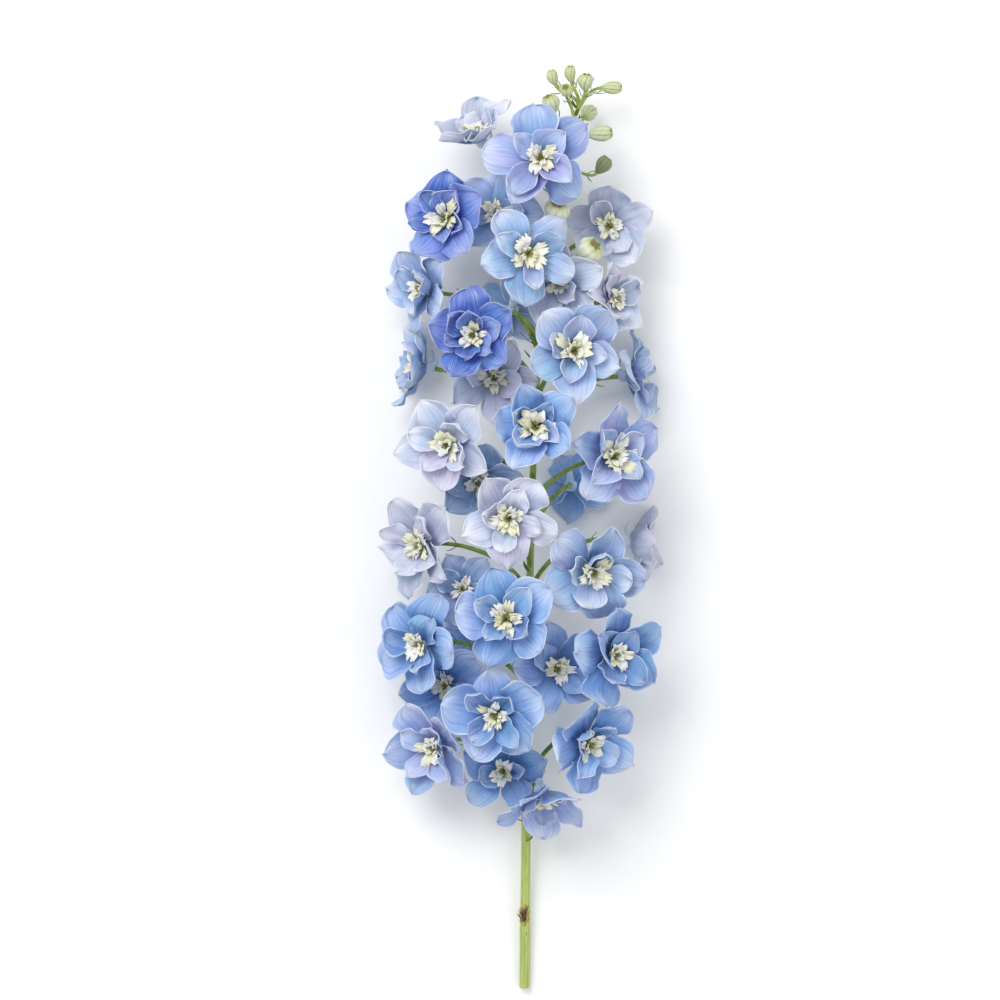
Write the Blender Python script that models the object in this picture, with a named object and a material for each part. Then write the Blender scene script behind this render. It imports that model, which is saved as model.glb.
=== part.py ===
"""A cut delphinium flower spike, laid on a flat surface.

The spike lies along Y with its tip at +Y and its cut end at -Y, and Z is up from the surface.
Sizes below are in millimetres, and MM turns them into Blender's metres.
Every floret is one solid of sepals, inner petals, spur and receptacle, and its pale centre,
the bee, is a second solid, except in the florets at the side, at the back and underneath,
where both are one. The stem, its pedicels and its bracts grew as one piece, and so did the
thin end of the stem with the buds that crowd it.
"""

import math
import random
from typing import NamedTuple

import bmesh
import bpy
from mathutils import Matrix, Vector

MM = 0.001

# Driving sizes, in millimetres
STEM_END_RADIUS = 2.7
STEM_TIP_RADIUS = 0.8
PEDICEL_RADIUS = 1.0
BUD_STALK_RADIUS = 0.7
BRACT_HALF_WIDTH = 0.9
BRACT_HALF_THICKNESS = 0.35
BLADE_THICKNESS = 0.8
SPUR_LENGTH = 12.0
SPUR_RADIUS = 2.0
SEAT_GAP = 0.3
CLUSTER_FOOT_Y = 178.0
FOOTPRINT_SHIFT = (1.8, 1.0, 0.0)

# The receptacle that the petals leave from, and where the bee and the blades stand on it
CORE_RADIUS = 3.4
CORE_HALF_HEIGHT = 3.4
CORE_CENTRE_Z = -1.2
BEE_FOOT_Z = CORE_CENTRE_Z + CORE_HALF_HEIGHT + SEAT_GAP
BLADE_ROOT = 0.8
SEPAL_FOOT_Z = -0.6
PETAL_FOOT_Z = 0.9

# A blade's cross-section: how far its edges drop or lift, and how far one edge laps over
SEPAL_CUP = -0.08
SEPAL_LAP = 0.17
PETAL_CUP = 0.10
PETAL_LAP = 0.14

# A blade's half width is its greatest one * BROADEST * t ** CLAW * (1 - t) ** TIP
CLAW = 1.3
TIP = 0.70
BROADEST = 3.650
# Its rings are drawn together towards the tip by this power
RING_CROWDING = 1.3
# A blade that would sink lower than this is pressed flat on the surface
PRESSED_HEIGHT = 0.25

SEPAL_COUNT = 5
SPUR_LEAN_DEG = 42.0
SPUR_BEND = 0.9
BEE_LOBES = 6
BEE_SPAN = 45.0
BEE_RIM_WAVE = 3.6
# How far a bee is sunk into its receptacle where the two are one solid
BEE_SINK = 0.9
# The bee's outline from its foot, over its rim, to its throat: radius, height, frill
BEE_PROFILE = (
    (0.0, 0.0, 0.0),
    (3.2, 1.7, 0.06),
    (6.4, 6.0, 0.22),
    (3.0, 5.4, 0.08),
    (0.0, 3.0, 0.0),
)
BUD_RIBS = 4
BUD_RIB_DEPTH = 0.10

# The stem's line from the cut end to the tip: x, y, z
STEM_LINE = (
    (0.0, -236.0, 2.72),
    (0.5, -190.0, 6.0),
    (1.0, -140.0, 14.0),
    (1.5, -90.0, 24.0),
    (2.5, -30.0, 30.0),
    (4.5, 40.0, 31.0),
    (8.0, 100.0, 30.0),
    (13.0, 150.0, 28.0),
    (19.0, 190.0, 26.0),
    (28.0, 216.0, 25.0),
)
STEM_FOOT_Y = STEM_LINE[0][1]
STEM_TIP_Y = STEM_LINE[-1][1]

POLE_RADIUS = 0.000001
PAIR_BIAS = 0.01
WELD_DISTANCE = 0.00002
SMOOTH_ANGLE = math.radians(50)

COLOURS = {
    "deep_blue": (0.10, 0.22, 0.75),
    "sky_blue": (0.28, 0.48, 0.88),
    "pale_blue": (0.45, 0.62, 0.92),
    "lavender": (0.50, 0.52, 0.88),
    "lavender_white": (0.72, 0.72, 0.90),
    "bee_cream": (0.88, 0.87, 0.72),
    "bud_green": (0.62, 0.70, 0.42),
    "stem_green": (0.28, 0.46, 0.10),
}


class Floret(NamedTuple):
    """One open flower: where its petals meet, which way it faces, and how it is built."""

    name: str
    at: tuple
    faces: tuple
    span: float
    breadth: float
    spin: float
    rise: tuple
    inner: int
    colour: str


# breadth is half a sepal's width as a share of the floret's radius, and rise is the slope of
# the sepals in degrees at their root and at their tip
FLORETS = (
    Floret("01", (8, 184, 50), (-0.10, 0.10, 1.0), 56, 0.40, 10, (32, 2), 4, "lavender"),
    Floret("02", (-38, 155, 38), (-0.50, 0.10, 1.0), 46, 0.50, 0, (38, 14), 5, "deep_blue"),
    Floret("03", (1, 137, 56), (0.10, -0.12, 1.0), 50, 0.36, 30, (28, 0), 3, "pale_blue"),
    Floret("04", (-25, 96, 60), (-0.20, 0.00, 1.0), 44, 0.48, 12, (36, 20), 6, "deep_blue"),
    Floret("05", (23, 88, 60), (0.22, 0.00, 1.0), 49, 0.43, 40, (32, 6), 4, "pale_blue"),
    Floret("06", (5, 50, 66), (0.00, 0.10, 1.0), 44, 0.46, 20, (36, 28), 4, "sky_blue"),
    Floret("07", (-37, 42, 54), (-0.35, -0.10, 1.0), 49, 0.44, 24, (32, 4), 4, "lavender_white"),
    Floret("08", (-8, 6, 66), (0.00, -0.10, 1.0), 48, 0.43, 36, (30, 6), 4, "lavender_white"),
    Floret("09", (42, 36, 50), (0.50, 0.05, 1.0), 51, 0.44, 4, (34, 6), 4, "lavender"),
    Floret("10", (-9, -44, 67), (-0.10, 0.05, 1.0), 50, 0.46, 16, (30, 4), 4, "sky_blue"),
    Floret("11", (32, -20, 55), (0.35, -0.30, 1.0), 50, 0.46, 50, (34, 10), 4, "pale_blue"),
    Floret("12", (42, -62, 44), (0.65, -0.20, 1.0), 50, 0.48, 18, (36, 22), 4, "sky_blue"),
    Floret("13", (-14, -91, 60), (-0.25, -0.15, 1.0), 49, 0.48, 8, (30, 6), 4, "sky_blue"),
    Floret("14", (30, -106, 45), (0.55, -0.30, 1.0), 48, 0.50, 30, (34, 20), 4, "sky_blue"),
    Floret("15", (-50, -8, 40), (-0.80, -0.10, 1.0), 50, 0.44, 22, (32, 8), 4, "lavender_white"),
    Floret("16", (-50, -57, 41), (-0.80, -0.10, 1.0), 51, 0.43, 44, (30, 4), 3, "sky_blue"),
    Floret("17", (-43, -109, 34), (-0.80, -0.35, 1.0), 49, 0.44, 14, (32, 10), 4, "lavender"),
    Floret("18", (8, -132, 36), (0.15, -1.00, 0.55), 46, 0.44, 26, (42, 24), 3, "lavender"),
    Floret("19", (-50, 82, 15.5), (-1.00, 0.15, 0.30), 44, 0.44, 34, (36, 18), 3, "pale_blue"),
    Floret("20", (52, 78, 15.0), (1.00, 0.10, 0.30), 44, 0.44, 12, (36, 18), 3, "pale_blue"),
    Floret("21", (54, -6, 15), (1.00, -0.10, 0.15), 42, 0.44, 28, (38, 20), 3, "lavender_white"),
    Floret("22", (-6, 112, 11.5), (0.00, 0.10, -1.00), 38, 0.44, 6, (40, 34), 2, "pale_blue"),
    Floret("23", (24, 22, 11.5), (0.20, 0.00, -1.00), 38, 0.44, 40, (40, 34), 2, "sky_blue"),
    Floret("24", (-24, -50, 11.5), (-0.20, 0.00, -1.00), 38, 0.44, 18, (40, 34), 2, "sky_blue"),
    Floret("25", (-49, 120, 33), (-0.80, 0.10, 0.70), 42, 0.43, 20, (34, 12), 3, "pale_blue"),
    Floret("26", (42, 115, 32), (0.80, 0.10, 0.70), 40, 0.43, 8, (34, 12), 3, "lavender_white"),
    Floret("27", (-22, 196, 32), (-0.40, 0.80, 0.50), 42, 0.43, 30, (40, 24), 3, "lavender_white"),
    Floret("28", (-30, -30, 42), (-0.20, 0.00, 1.00), 36, 0.43, 30, (30, 4), 2, "pale_blue"),
    Floret("29", (-14, 159, 31), (-0.01, -0.03, 1.0), 44, 0.43, 60, (30, 6), 2, "pale_blue"),
    Floret("30", (16, 124, 41), (-0.03, -0.12, 1.0), 44, 0.43, 6, (38, 20), 2, "lavender_white"),
    Floret("31", (-16, 76, 39), (0.05, -0.12, 1.0), 44, 0.43, 42, (38, 20), 2, "lavender_white"),
    Floret("32", (-24, 25, 32), (0.13, -0.39, 1.0), 44, 0.43, 60, (30, 6), 2, "pale_blue"),
    Floret("33", (15, -70, 42), (0.18, 0.00, 1.0), 46, 0.43, 12, (30, 6), 2, "sky_blue"),
    Floret("34", (-10, -122, 27), (-0.16, -0.10, 1.0), 44, 0.43, 66, (34, 12), 2, "sky_blue"),
    Floret("35", (-39, -79, 24), (-0.25, -0.06, 1.0), 44, 0.43, 24, (38, 20), 2, "sky_blue"),
    Floret("36", (43, 153, 21), (-0.05, 0.00, 1.0), 44, 0.43, 0, (30, 6), 2, "lavender_white"),
)
# These look aside, down or from behind others, and their bee is one solid with their petals
FUSED_BEES = ("19", "20", "21", "22", "23", "24", "27", "28", "29", "30", "31", "32", "33", "34", "35", "36")
PEDICEL_RUN = 26.0
PEDICEL_STEPS = 4
FLORET_BRACT_LENGTH = 12.0


class Bud(NamedTuple):
    """A closed bud: its middle, the way its tip points, its length and its width."""

    name: str
    at: tuple
    points: tuple
    length: float
    width: float


TIP_BUDS = (
    Bud("tip_1", (14.5, 228, 29), (-0.3, 1.0, 0.1), 9, 5.5),
    Bud("tip_2", (23.5, 229.5, 30), (-0.1, 1.0, 0.3), 10, 5.5),
    Bud("tip_3", (31, 225, 33), (0.1, 1.0, 0.4), 10, 7.5),
    Bud("tip_4", (44, 223.5, 25), (1.0, 0.05, -0.1), 12, 6.5),
    Bud("tip_5", (20.5, 220, 38), (-0.1, 0.5, 1.0), 8, 6.5),
    Bud("tip_6", (13, 214, 33), (-0.4, 0.9, 0.5), 11, 8.5),
    Bud("tip_7", (33, 212, 12), (0.5, 0.6, -0.8), 11, 8),
    Bud("tip_8", (38, 199.5, 31), (1.0, 0.12, 0.1), 14, 8),
    Bud("tip_9", (39.5, 184, 26), (0.6, 0.8, 0.1), 11, 7.5),
)
SIDE_BUDS = (
    Bud("bud_1", (15, 158.5, 43), (0.2, 0.7, 0.7), 14, 12.5),
    Bud("bud_2", (31, 138.5, 46), (0.6, 0.5, 0.6), 16, 13),
)
BUD_STALK_RUN = 14.0
BUD_STALK_STEPS = 3
BUD_SINK = 1.0
TIP_BRACT_LENGTH = 6.0
SIDE_BRACT_LENGTH = 8.0


def clear_scene():
    """Removes what the start-up file holds."""
    for obj in list(bpy.data.objects):
        bpy.data.objects.remove(obj)


def new_collection(name):
    """A collection linked to the scene."""
    made = bpy.data.collections.new(name)
    bpy.context.scene.collection.children.link(made)
    return made


def material(name):
    """A plain coloured material, made once for each colour."""
    found = bpy.data.materials.get(name)
    if found:
        return found
    made = bpy.data.materials.new(name)
    made.use_nodes = True
    shader = made.node_tree.nodes["Principled BSDF"]
    shader.inputs["Base Color"].default_value = (*COLOURS[name], 1.0)
    shader.inputs["Roughness"].default_value = 0.6
    shader.inputs["Metallic"].default_value = 0.0
    return made


def outward(bm):
    """Turns a closed mesh's faces to point out."""
    if bm.calc_volume(signed=True) < 0:
        bmesh.ops.reverse_faces(bm, faces=bm.faces)


def sphere_mesh(name, sides, rings, shape, paired=False):
    """A sphere primitive with few faces, whose points shape(t, across, side) moves.

    t runs from 0 at one pole to 1 at the other, and across and side are the cosine and the
    sine of the angle round the poles' axis. Paired splits a blade's quads alike on both faces.
    """
    bm = bmesh.new()
    bmesh.ops.create_uvsphere(bm, u_segments=sides, v_segments=rings, radius=1.0)
    where = {}
    for vert in bm.verts:
        ring = math.hypot(vert.co.x, vert.co.y)
        t = min(1.0, math.atan2(ring, vert.co.z) / math.pi)
        across = vert.co.x / ring if ring > POLE_RADIUS else 0.0
        side = vert.co.y / ring if ring > POLE_RADIUS else 0.0
        where[vert] = (t, across, side)
    if paired:
        for face in [f for f in bm.faces if len(f.verts) == 4]:
            order = sorted(face.verts, key=lambda v: where[v][0] - abs(where[v][1]) * PAIR_BIAS)
            bmesh.utils.face_split(face, order[0], order[-1])
    for vert, place in where.items():
        vert.co = shape(*place)
    outward(bm)
    mesh = bpy.data.meshes.new(name)
    bm.to_mesh(mesh)
    bm.free()
    return mesh


def tube_mesh(points, radii, resolution):
    """A tapering tube with closed ends, from a curve with a bevel."""
    data = bpy.data.curves.new("tube", "CURVE")
    data.dimensions = "3D"
    data.bevel_depth = MM
    data.bevel_resolution = resolution
    data.use_fill_caps = True
    spline = data.splines.new("POLY")
    spline.points.add(len(points) - 1)
    for knot, point, radius in zip(spline.points, points, radii):
        knot.co = (*(point * MM), 1.0)
        knot.radius = radius
    obj = bpy.data.objects.new("tube", data)
    bpy.context.scene.collection.objects.link(obj)
    mesh = evaluated_mesh(obj)
    bpy.data.objects.remove(obj)
    bm = bmesh.new()
    bm.from_mesh(mesh)
    bmesh.ops.remove_doubles(bm, verts=bm.verts, dist=WELD_DISTANCE)
    outward(bm)
    bm.to_mesh(mesh)
    bm.free()
    return mesh


def evaluated_mesh(obj):
    """What an object's curve or modifiers make, as a mesh."""
    bpy.context.view_layer.update()
    graph = bpy.context.evaluated_depsgraph_get()
    return bpy.data.meshes.new_from_object(obj.evaluated_get(graph))


def joined(name, meshes):
    """One solid from overlapping meshes, by a Boolean union on a collection."""
    base = bpy.data.objects.new(name, meshes[0])
    bpy.context.scene.collection.objects.link(base)
    others = new_collection(name + "_pieces")
    for mesh in meshes[1:]:
        others.objects.link(bpy.data.objects.new(mesh.name, mesh))
    union = base.modifiers.new("union", "BOOLEAN")
    union.operation = "UNION"
    union.operand_type = "COLLECTION"
    union.collection = others
    union.solver = "MANIFOLD"
    whole = evaluated_mesh(base)
    for piece in [base, *others.objects]:
        bpy.data.objects.remove(piece)
    bpy.data.collections.remove(others)
    return whole


def floor_cutter(cutters):
    """A slab under the surface that the spike lies on, which flattens what would sink into it."""
    bm = bmesh.new()
    bmesh.ops.create_cube(bm, size=1.0)
    mesh = bpy.data.meshes.new("surface")
    bm.to_mesh(mesh)
    bm.free()
    slab = bpy.data.objects.new("surface", mesh)
    slab.location.z = -0.5
    slab.hide_render = True
    slab.display_type = "WIRE"
    cutters.objects.link(slab)
    return slab


def flattened(mesh, slab):
    """The mesh with the little that reaches under the surface cut off flat."""
    if min(v.co.z for v in mesh.vertices) > 0:
        return mesh
    obj = bpy.data.objects.new("flattened", mesh)
    bpy.context.scene.collection.objects.link(obj)
    cut = obj.modifiers.new("surface", "BOOLEAN")
    cut.operation = "DIFFERENCE"
    cut.object = slab
    cut.solver = "MANIFOLD"
    whole = evaluated_mesh(obj)
    bpy.data.objects.remove(obj)
    return whole


def millimetres(placement):
    """A placement in millimetres as one in metres."""
    moved = placement.copy()
    moved.translation = placement.translation * MM
    return moved


def add_part(spike, root, name, mesh, placement, colour):
    """An object of the spike, with its own origin and one material, parented to the root."""
    home = millimetres(placement)
    mesh.name = name
    mesh.transform(home.inverted())
    mesh.materials.clear()
    mesh.materials.append(material(colour))
    mesh.shade_smooth()
    mesh.set_sharp_from_angle(angle=SMOOTH_ANGLE)
    obj = bpy.data.objects.new(name, mesh)
    obj.matrix_world = home
    obj.parent = root
    spike.objects.link(obj)
    return obj


def frame_of(at, faces):
    """The placement of a piece whose own +Z is the way it faces and +Y leans to the spike's tip."""
    normal = Vector(faces).normalized()
    tip = Vector((0.0, 1.0, 0.0))
    up = tip - normal * normal.dot(tip)
    if up.length < 0.5:
        up = Vector((0.0, 0.0, 1.0)) - normal * normal.z
    up.normalize()
    side = up.cross(normal)
    turn = Matrix((side, up, normal)).transposed().to_4x4()
    return Matrix.Translation(Vector(at)) @ turn


class Blade(NamedTuple):
    """One sepal or petal of a floret, in the floret's own frame."""

    angle: float
    foot: float
    length: float
    half_width: float
    rise: tuple
    cup: float
    lap: float


def sepal_plan(floret, draw):
    """The outer whorl, each sepal lapping over the next."""
    reach = floret.span / 2
    start, end = floret.rise
    sepals = []
    for i in range(SEPAL_COUNT):
        angle = 90 + floret.spin + 360 / SEPAL_COUNT * i + draw.uniform(-4, 4)
        rise = (start + draw.uniform(-3, 3), end + draw.uniform(-7, 7))
        slope = math.cos(math.radians(sum(rise) / 2))
        length = (reach - BLADE_ROOT) / slope * draw.uniform(0.95, 1.05)
        half_width = reach * floret.breadth * draw.uniform(0.93, 1.07)
        sepals.append(Blade(angle, SEPAL_FOOT_Z, length, half_width, rise, SEPAL_CUP, SEPAL_LAP))
    return sepals


def petal_plan(floret, draw):
    """The inner whorl, smaller and standing up more steeply."""
    reach = floret.span / 2
    start, end = floret.rise
    petals = []
    for i in range(floret.inner):
        angle = 126 + floret.spin + 360 / floret.inner * i + draw.uniform(-8, 8)
        rise = (min(start + 8, 40) + draw.uniform(-2, 2), min(end + draw.uniform(8, 24), 50))
        length = reach * draw.uniform(0.66, 0.82)
        half_width = reach * draw.uniform(0.25, 0.33)
        petals.append(Blade(angle, PETAL_FOOT_Z, length, half_width, rise, PETAL_CUP, PETAL_LAP))
    return petals


def blade_point(blade, placement, t, across, side):
    """A point on the blade: t along it, across from -1 to 1, and side above or below."""
    first, last = (math.radians(a) for a in blade.rise)
    bend = last - first
    slope = first + bend * t
    out = BLADE_ROOT + blade.length * (math.sin(slope) - math.sin(first)) / bend
    high = blade.foot - blade.length * (math.cos(slope) - math.cos(first)) / bend
    width = blade.half_width * BROADEST * t**CLAW * (1 - t) ** TIP
    lift = width * (blade.cup * across * across + blade.lap * across)
    out -= lift * math.sin(slope)
    high += lift * math.cos(slope)
    angle = math.radians(blade.angle)
    radial = Vector((math.cos(angle), math.sin(angle), 0))
    tangent = Vector((-radial.y, radial.x, 0))
    middle = placement @ (radial * out + tangent * (width * across) + Vector((0, 0, high)))
    facing = radial * -math.sin(slope) + Vector((0, 0, math.cos(slope)))
    facing = placement.to_3x3() @ facing
    if middle.z < PRESSED_HEIGHT:
        middle.z = PRESSED_HEIGHT
        facing = Vector((0, 0, math.copysign(1, facing.z)))
    return (middle + facing * (side * BLADE_THICKNESS / 2)) * MM


def blade_mesh(blade, placement, rings):
    """A thin blade from a four-sided sphere."""

    def shape(t, across, side):
        return blade_point(blade, placement, 1 - (1 - t) ** RING_CROWDING, across, side)

    return sphere_mesh("blade", 4, rings, shape, True)


def core_mesh(placement):
    """The receptacle behind the petals."""

    def shape(t, across, side):
        ring = CORE_RADIUS * math.sin(math.pi * t)
        high = CORE_CENTRE_Z + CORE_HALF_HEIGHT * math.cos(math.pi * t)
        return placement @ Vector((ring * across, ring * side, high)) * MM

    return sphere_mesh("receptacle", 6, 4, shape)


def spur_mesh(placement):
    """The horn behind the top sepal, tapering and bending back down."""
    lean = math.radians(SPUR_LEAN_DEG)

    def shape(t, across, side):
        radius = SPUR_RADIUS * math.sin(math.pi * (0.25 + 0.75 * t)) ** 0.8 if t < 0.99 else 0.0
        angle = lean + SPUR_BEND * t * t
        run = SPUR_LENGTH * t - 1.0
        centre = Vector((0, run * math.sin(angle) * 0.9, CORE_CENTRE_Z - run * math.cos(angle)))
        around = Vector((across, side * math.cos(angle), side * math.sin(angle)))
        return placement @ (centre + around * radius) * MM

    return sphere_mesh("spur", 4, 4, shape)


def bee_mesh(floret, placement, sides, sink):
    """The frilled pale centre: a goblet of lobes round an open throat."""
    draw = random.Random(int(floret.name) * 11 + 5)
    wobble = [draw.uniform(0.88, 1.12) for _ in range(BEE_LOBES)]
    size = min(1.1, floret.span / BEE_SPAN)

    def shape(t, across, side):
        radius, high, frill = BEE_PROFILE[round(t * (len(BEE_PROFILE) - 1))]
        turn = math.atan2(side, across)
        lobe = math.cos(BEE_LOBES * turn)
        which = round(turn / (2 * math.pi / BEE_LOBES)) % BEE_LOBES
        radius *= size * (1 + frill * lobe) * wobble[which]
        high = BEE_FOOT_Z - sink + high * size + BEE_RIM_WAVE * frill * lobe
        return placement @ Vector((radius * across, radius * side, high)) * MM

    return sphere_mesh("bee", sides, len(BEE_PROFILE) - 1, shape)


def flower_mesh(floret, placement, slab):
    """The coloured part of a floret as one solid, flat where it is pressed on the surface."""
    draw = random.Random(int(floret.name) * 7 + 3)
    sepal_rings = 5 if floret.inner > 3 else 4
    petal_rings = 4 if floret.inner > 2 else 3
    sepals = [blade_mesh(b, placement, sepal_rings) for b in sepal_plan(floret, draw)]
    petals = [blade_mesh(b, placement, petal_rings) for b in petal_plan(floret, draw)]
    pieces = [core_mesh(placement), *sepals, *petals, spur_mesh(placement)]
    if floret.name in FUSED_BEES:
        pieces.append(bee_mesh(floret, placement, BEE_LOBES, BEE_SINK))
    return flattened(joined("flower", pieces), slab)


def bud_mesh(bud, placement):
    """A ribbed closed bud, blunt and puckered at its tip."""

    def shape(t, across, side):
        rib = 1 + BUD_RIB_DEPTH * math.cos(BUD_RIBS * math.atan2(side, across))
        radius = bud.width / 2 * math.sin(math.pi * t**0.85) ** 0.7 * rib
        high = bud.length * (0.5 - t)
        return placement @ Vector((radius * across, radius * side, high)) * MM

    return sphere_mesh("bud", BUD_RIBS * 2, 4, shape)


def stem_point(y):
    """The stem's centre at a given y, on a smooth curve through STEM_LINE."""
    points = [Vector(p) for p in STEM_LINE]
    last = len(points) - 2
    k = next((i for i in range(last) if y < points[i + 1].y), last)
    a, b = points[k], points[k + 1]
    before = points[k - 1] if k > 0 else a * 2 - b
    after = points[k + 2] if k + 2 < len(points) else b * 2 - a
    t = (y - a.y) / (b.y - a.y)
    lead = (b - before) * 0.5
    tail = (after - a) * 0.5
    point = (
        a * (2 * t**3 - 3 * t**2 + 1)
        + lead * (t**3 - 2 * t**2 + t)
        + b * (3 * t**2 - 2 * t**3)
        + tail * (t**3 - t**2)
    )
    return Vector((point.x, y, point.z))


def stem_radius(y):
    """The stem thins from its cut end to its tip."""
    share = (y - STEM_FOOT_Y) / (STEM_TIP_Y - STEM_FOOT_Y)
    return STEM_END_RADIUS + (STEM_TIP_RADIUS - STEM_END_RADIUS) * share**1.2


def stem_tube(first, last, steps):
    """A length of the stem itself."""
    heights = [first + (last - first) * i / steps for i in range(steps + 1)]
    return tube_mesh([stem_point(y) for y in heights], [stem_radius(y) for y in heights], 2)


def pedicel_mesh(foot_y, end, heading, radius, steps, resolution):
    """The stalk from the stem to the back of a flower or bud, which it meets head on."""
    start = stem_point(foot_y)
    along = (stem_point(foot_y + 2) - start).normalized()
    reach = (end - start).length
    leave = start + (along * 0.75 + (end - start).normalized() * 0.45) * reach * 0.4
    arrive = end - heading * reach * 0.35
    points = []
    radii = []
    for i in range(steps + 1):
        t = i / steps
        s = 1 - t
        point = start * s**3 + leave * (3 * s * s * t) + arrive * (3 * s * t * t) + end * t**3
        points.append(point)
        radii.append(radius * (1.25 - 0.25 * t))
    return tube_mesh(points, radii, resolution)


def bract_mesh(foot_y, toward, length):
    """The narrow pointed leaf under a pedicel's foot."""
    start = stem_point(foot_y - 1.5)
    along = (stem_point(foot_y + 2) - start).normalized()
    out = (toward - along * toward.dot(along)).normalized()
    across_way = along.cross(out)

    def shape(t, across, side):
        middle = start + out * length * 0.85 * t + along * length * 0.5 * t * t
        width = BRACT_HALF_WIDTH * math.sin(math.pi * t) if 0 < t < 1 else 0.0
        return (middle + across_way * across * width + along * side * BRACT_HALF_THICKNESS) * MM

    return sphere_mesh("bract", 4, 3, shape)


def flower_stalk(floret):
    """A floret's pedicel, ending a seat's gap behind the receptacle, and its bract."""
    placement = frame_of(floret.at, floret.faces)
    heading = placement.to_3x3() @ Vector((0, 0, 1))
    back = placement @ Vector((0, 0, CORE_CENTRE_Z - CORE_HALF_HEIGHT - SEAT_GAP))
    foot_y = min(CLUSTER_FOOT_Y - 6, floret.at[1] - PEDICEL_RUN)
    toward = back - stem_point(foot_y)
    resolution = 0 if floret.name in FUSED_BEES else 1
    return [
        pedicel_mesh(foot_y, back, heading, PEDICEL_RADIUS, PEDICEL_STEPS, resolution),
        bract_mesh(foot_y, toward, FLORET_BRACT_LENGTH),
    ]


def bud_stalk(bud, lowest_foot_y, gap, bract_length):
    """A bud's pedicel, ending a gap behind it, and its bract."""
    placement = frame_of(bud.at, bud.points)
    heading = placement.to_3x3() @ Vector((0, 0, 1))
    back = placement @ Vector((0, 0, -bud.length / 2 - gap))
    foot_y = min(STEM_TIP_Y - 1.5, max(lowest_foot_y, bud.at[1] - BUD_STALK_RUN))
    toward = back - stem_point(foot_y)
    return [
        pedicel_mesh(foot_y, back, heading, BUD_STALK_RADIUS, BUD_STALK_STEPS, 1),
        bract_mesh(foot_y, toward, bract_length),
    ]


def stem_mesh():
    """The stem with every pedicel and bract that grows from it, as one solid."""
    meshes = [stem_tube(STEM_FOOT_Y, CLUSTER_FOOT_Y - SEAT_GAP, 13)]
    for floret in FLORETS:
        meshes += flower_stalk(floret)
    for bud in SIDE_BUDS:
        meshes += bud_stalk(bud, STEM_FOOT_Y, SEAT_GAP, SIDE_BRACT_LENGTH)
    return joined("stem", meshes)


def cluster_mesh():
    """The thin end of the stem with the buds crowded on it, as one solid."""
    meshes = [stem_tube(CLUSTER_FOOT_Y, STEM_TIP_Y, 4)]
    for bud in TIP_BUDS:
        meshes += bud_stalk(bud, CLUSTER_FOOT_Y + 3, -BUD_SINK, TIP_BRACT_LENGTH)
        meshes.append(bud_mesh(bud, frame_of(bud.at, bud.points)))
    return joined("bud_cluster", meshes)


def build_spike():
    """The whole spike, centred on its footprint."""
    clear_scene()
    spike = new_collection("delphinium_spike")
    slab = floor_cutter(new_collection("cutters"))
    root = bpy.data.objects.new("delphinium_root", None)
    root.location = Vector(FOOTPRINT_SHIFT) * MM
    spike.objects.link(root)
    foot = Matrix.Translation(stem_point(STEM_FOOT_Y))
    add_part(spike, root, "stem", stem_mesh(), foot, "stem_green")
    cluster_foot = Matrix.Translation(stem_point(CLUSTER_FOOT_Y))
    add_part(spike, root, "bud_cluster", cluster_mesh(), cluster_foot, "bud_green")
    for bud in SIDE_BUDS:
        placement = frame_of(bud.at, bud.points)
        add_part(spike, root, bud.name, bud_mesh(bud, placement), placement, "bud_green")
    for floret in FLORETS:
        placement = frame_of(floret.at, floret.faces)
        flower = flower_mesh(floret, placement, slab)
        add_part(spike, root, "floret_" + floret.name, flower, placement, floret.colour)
        if floret.name not in FUSED_BEES:
            bee = bee_mesh(floret, placement, BEE_LOBES * 2, 0.0)
            add_part(spike, root, "bee_" + floret.name, bee, placement, "bee_cream")


build_spike()
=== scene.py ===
"""A cut delphinium flower spike lying on a pale surface, seen from above.

The spike lies along Y with its tip of buds at +Y, as in the frame that it is dressed on.
Sizes are in millimetres until a piece is placed, and MM turns them into metres.
"""

import math
import random
from collections import namedtuple
from typing import NamedTuple

import bpy
import numpy as np
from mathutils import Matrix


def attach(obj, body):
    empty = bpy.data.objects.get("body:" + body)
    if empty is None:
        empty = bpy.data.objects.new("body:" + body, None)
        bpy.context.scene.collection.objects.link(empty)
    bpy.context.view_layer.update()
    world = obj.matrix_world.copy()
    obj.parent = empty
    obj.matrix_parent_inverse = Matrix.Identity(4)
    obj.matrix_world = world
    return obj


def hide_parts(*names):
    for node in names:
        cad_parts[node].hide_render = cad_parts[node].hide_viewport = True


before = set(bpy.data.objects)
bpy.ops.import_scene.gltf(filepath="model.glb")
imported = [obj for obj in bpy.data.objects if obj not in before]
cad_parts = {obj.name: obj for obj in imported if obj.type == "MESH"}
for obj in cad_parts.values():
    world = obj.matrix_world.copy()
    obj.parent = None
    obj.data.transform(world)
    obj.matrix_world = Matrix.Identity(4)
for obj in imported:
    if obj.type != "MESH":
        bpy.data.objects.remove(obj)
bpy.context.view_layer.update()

bl_info = {
    "name": "Delphinium Spike",
    "version": (1, 0, 0),
    "blender": (4, 5, 0),
    "location": "View3D > Sidebar > Delphinium",
    "description": "Builds a cut delphinium spike petal by petal and lays it on a pale surface",
    "category": "Object",
}

MM = 0.001
TAU = 2 * math.pi
BODY = "root"

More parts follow.
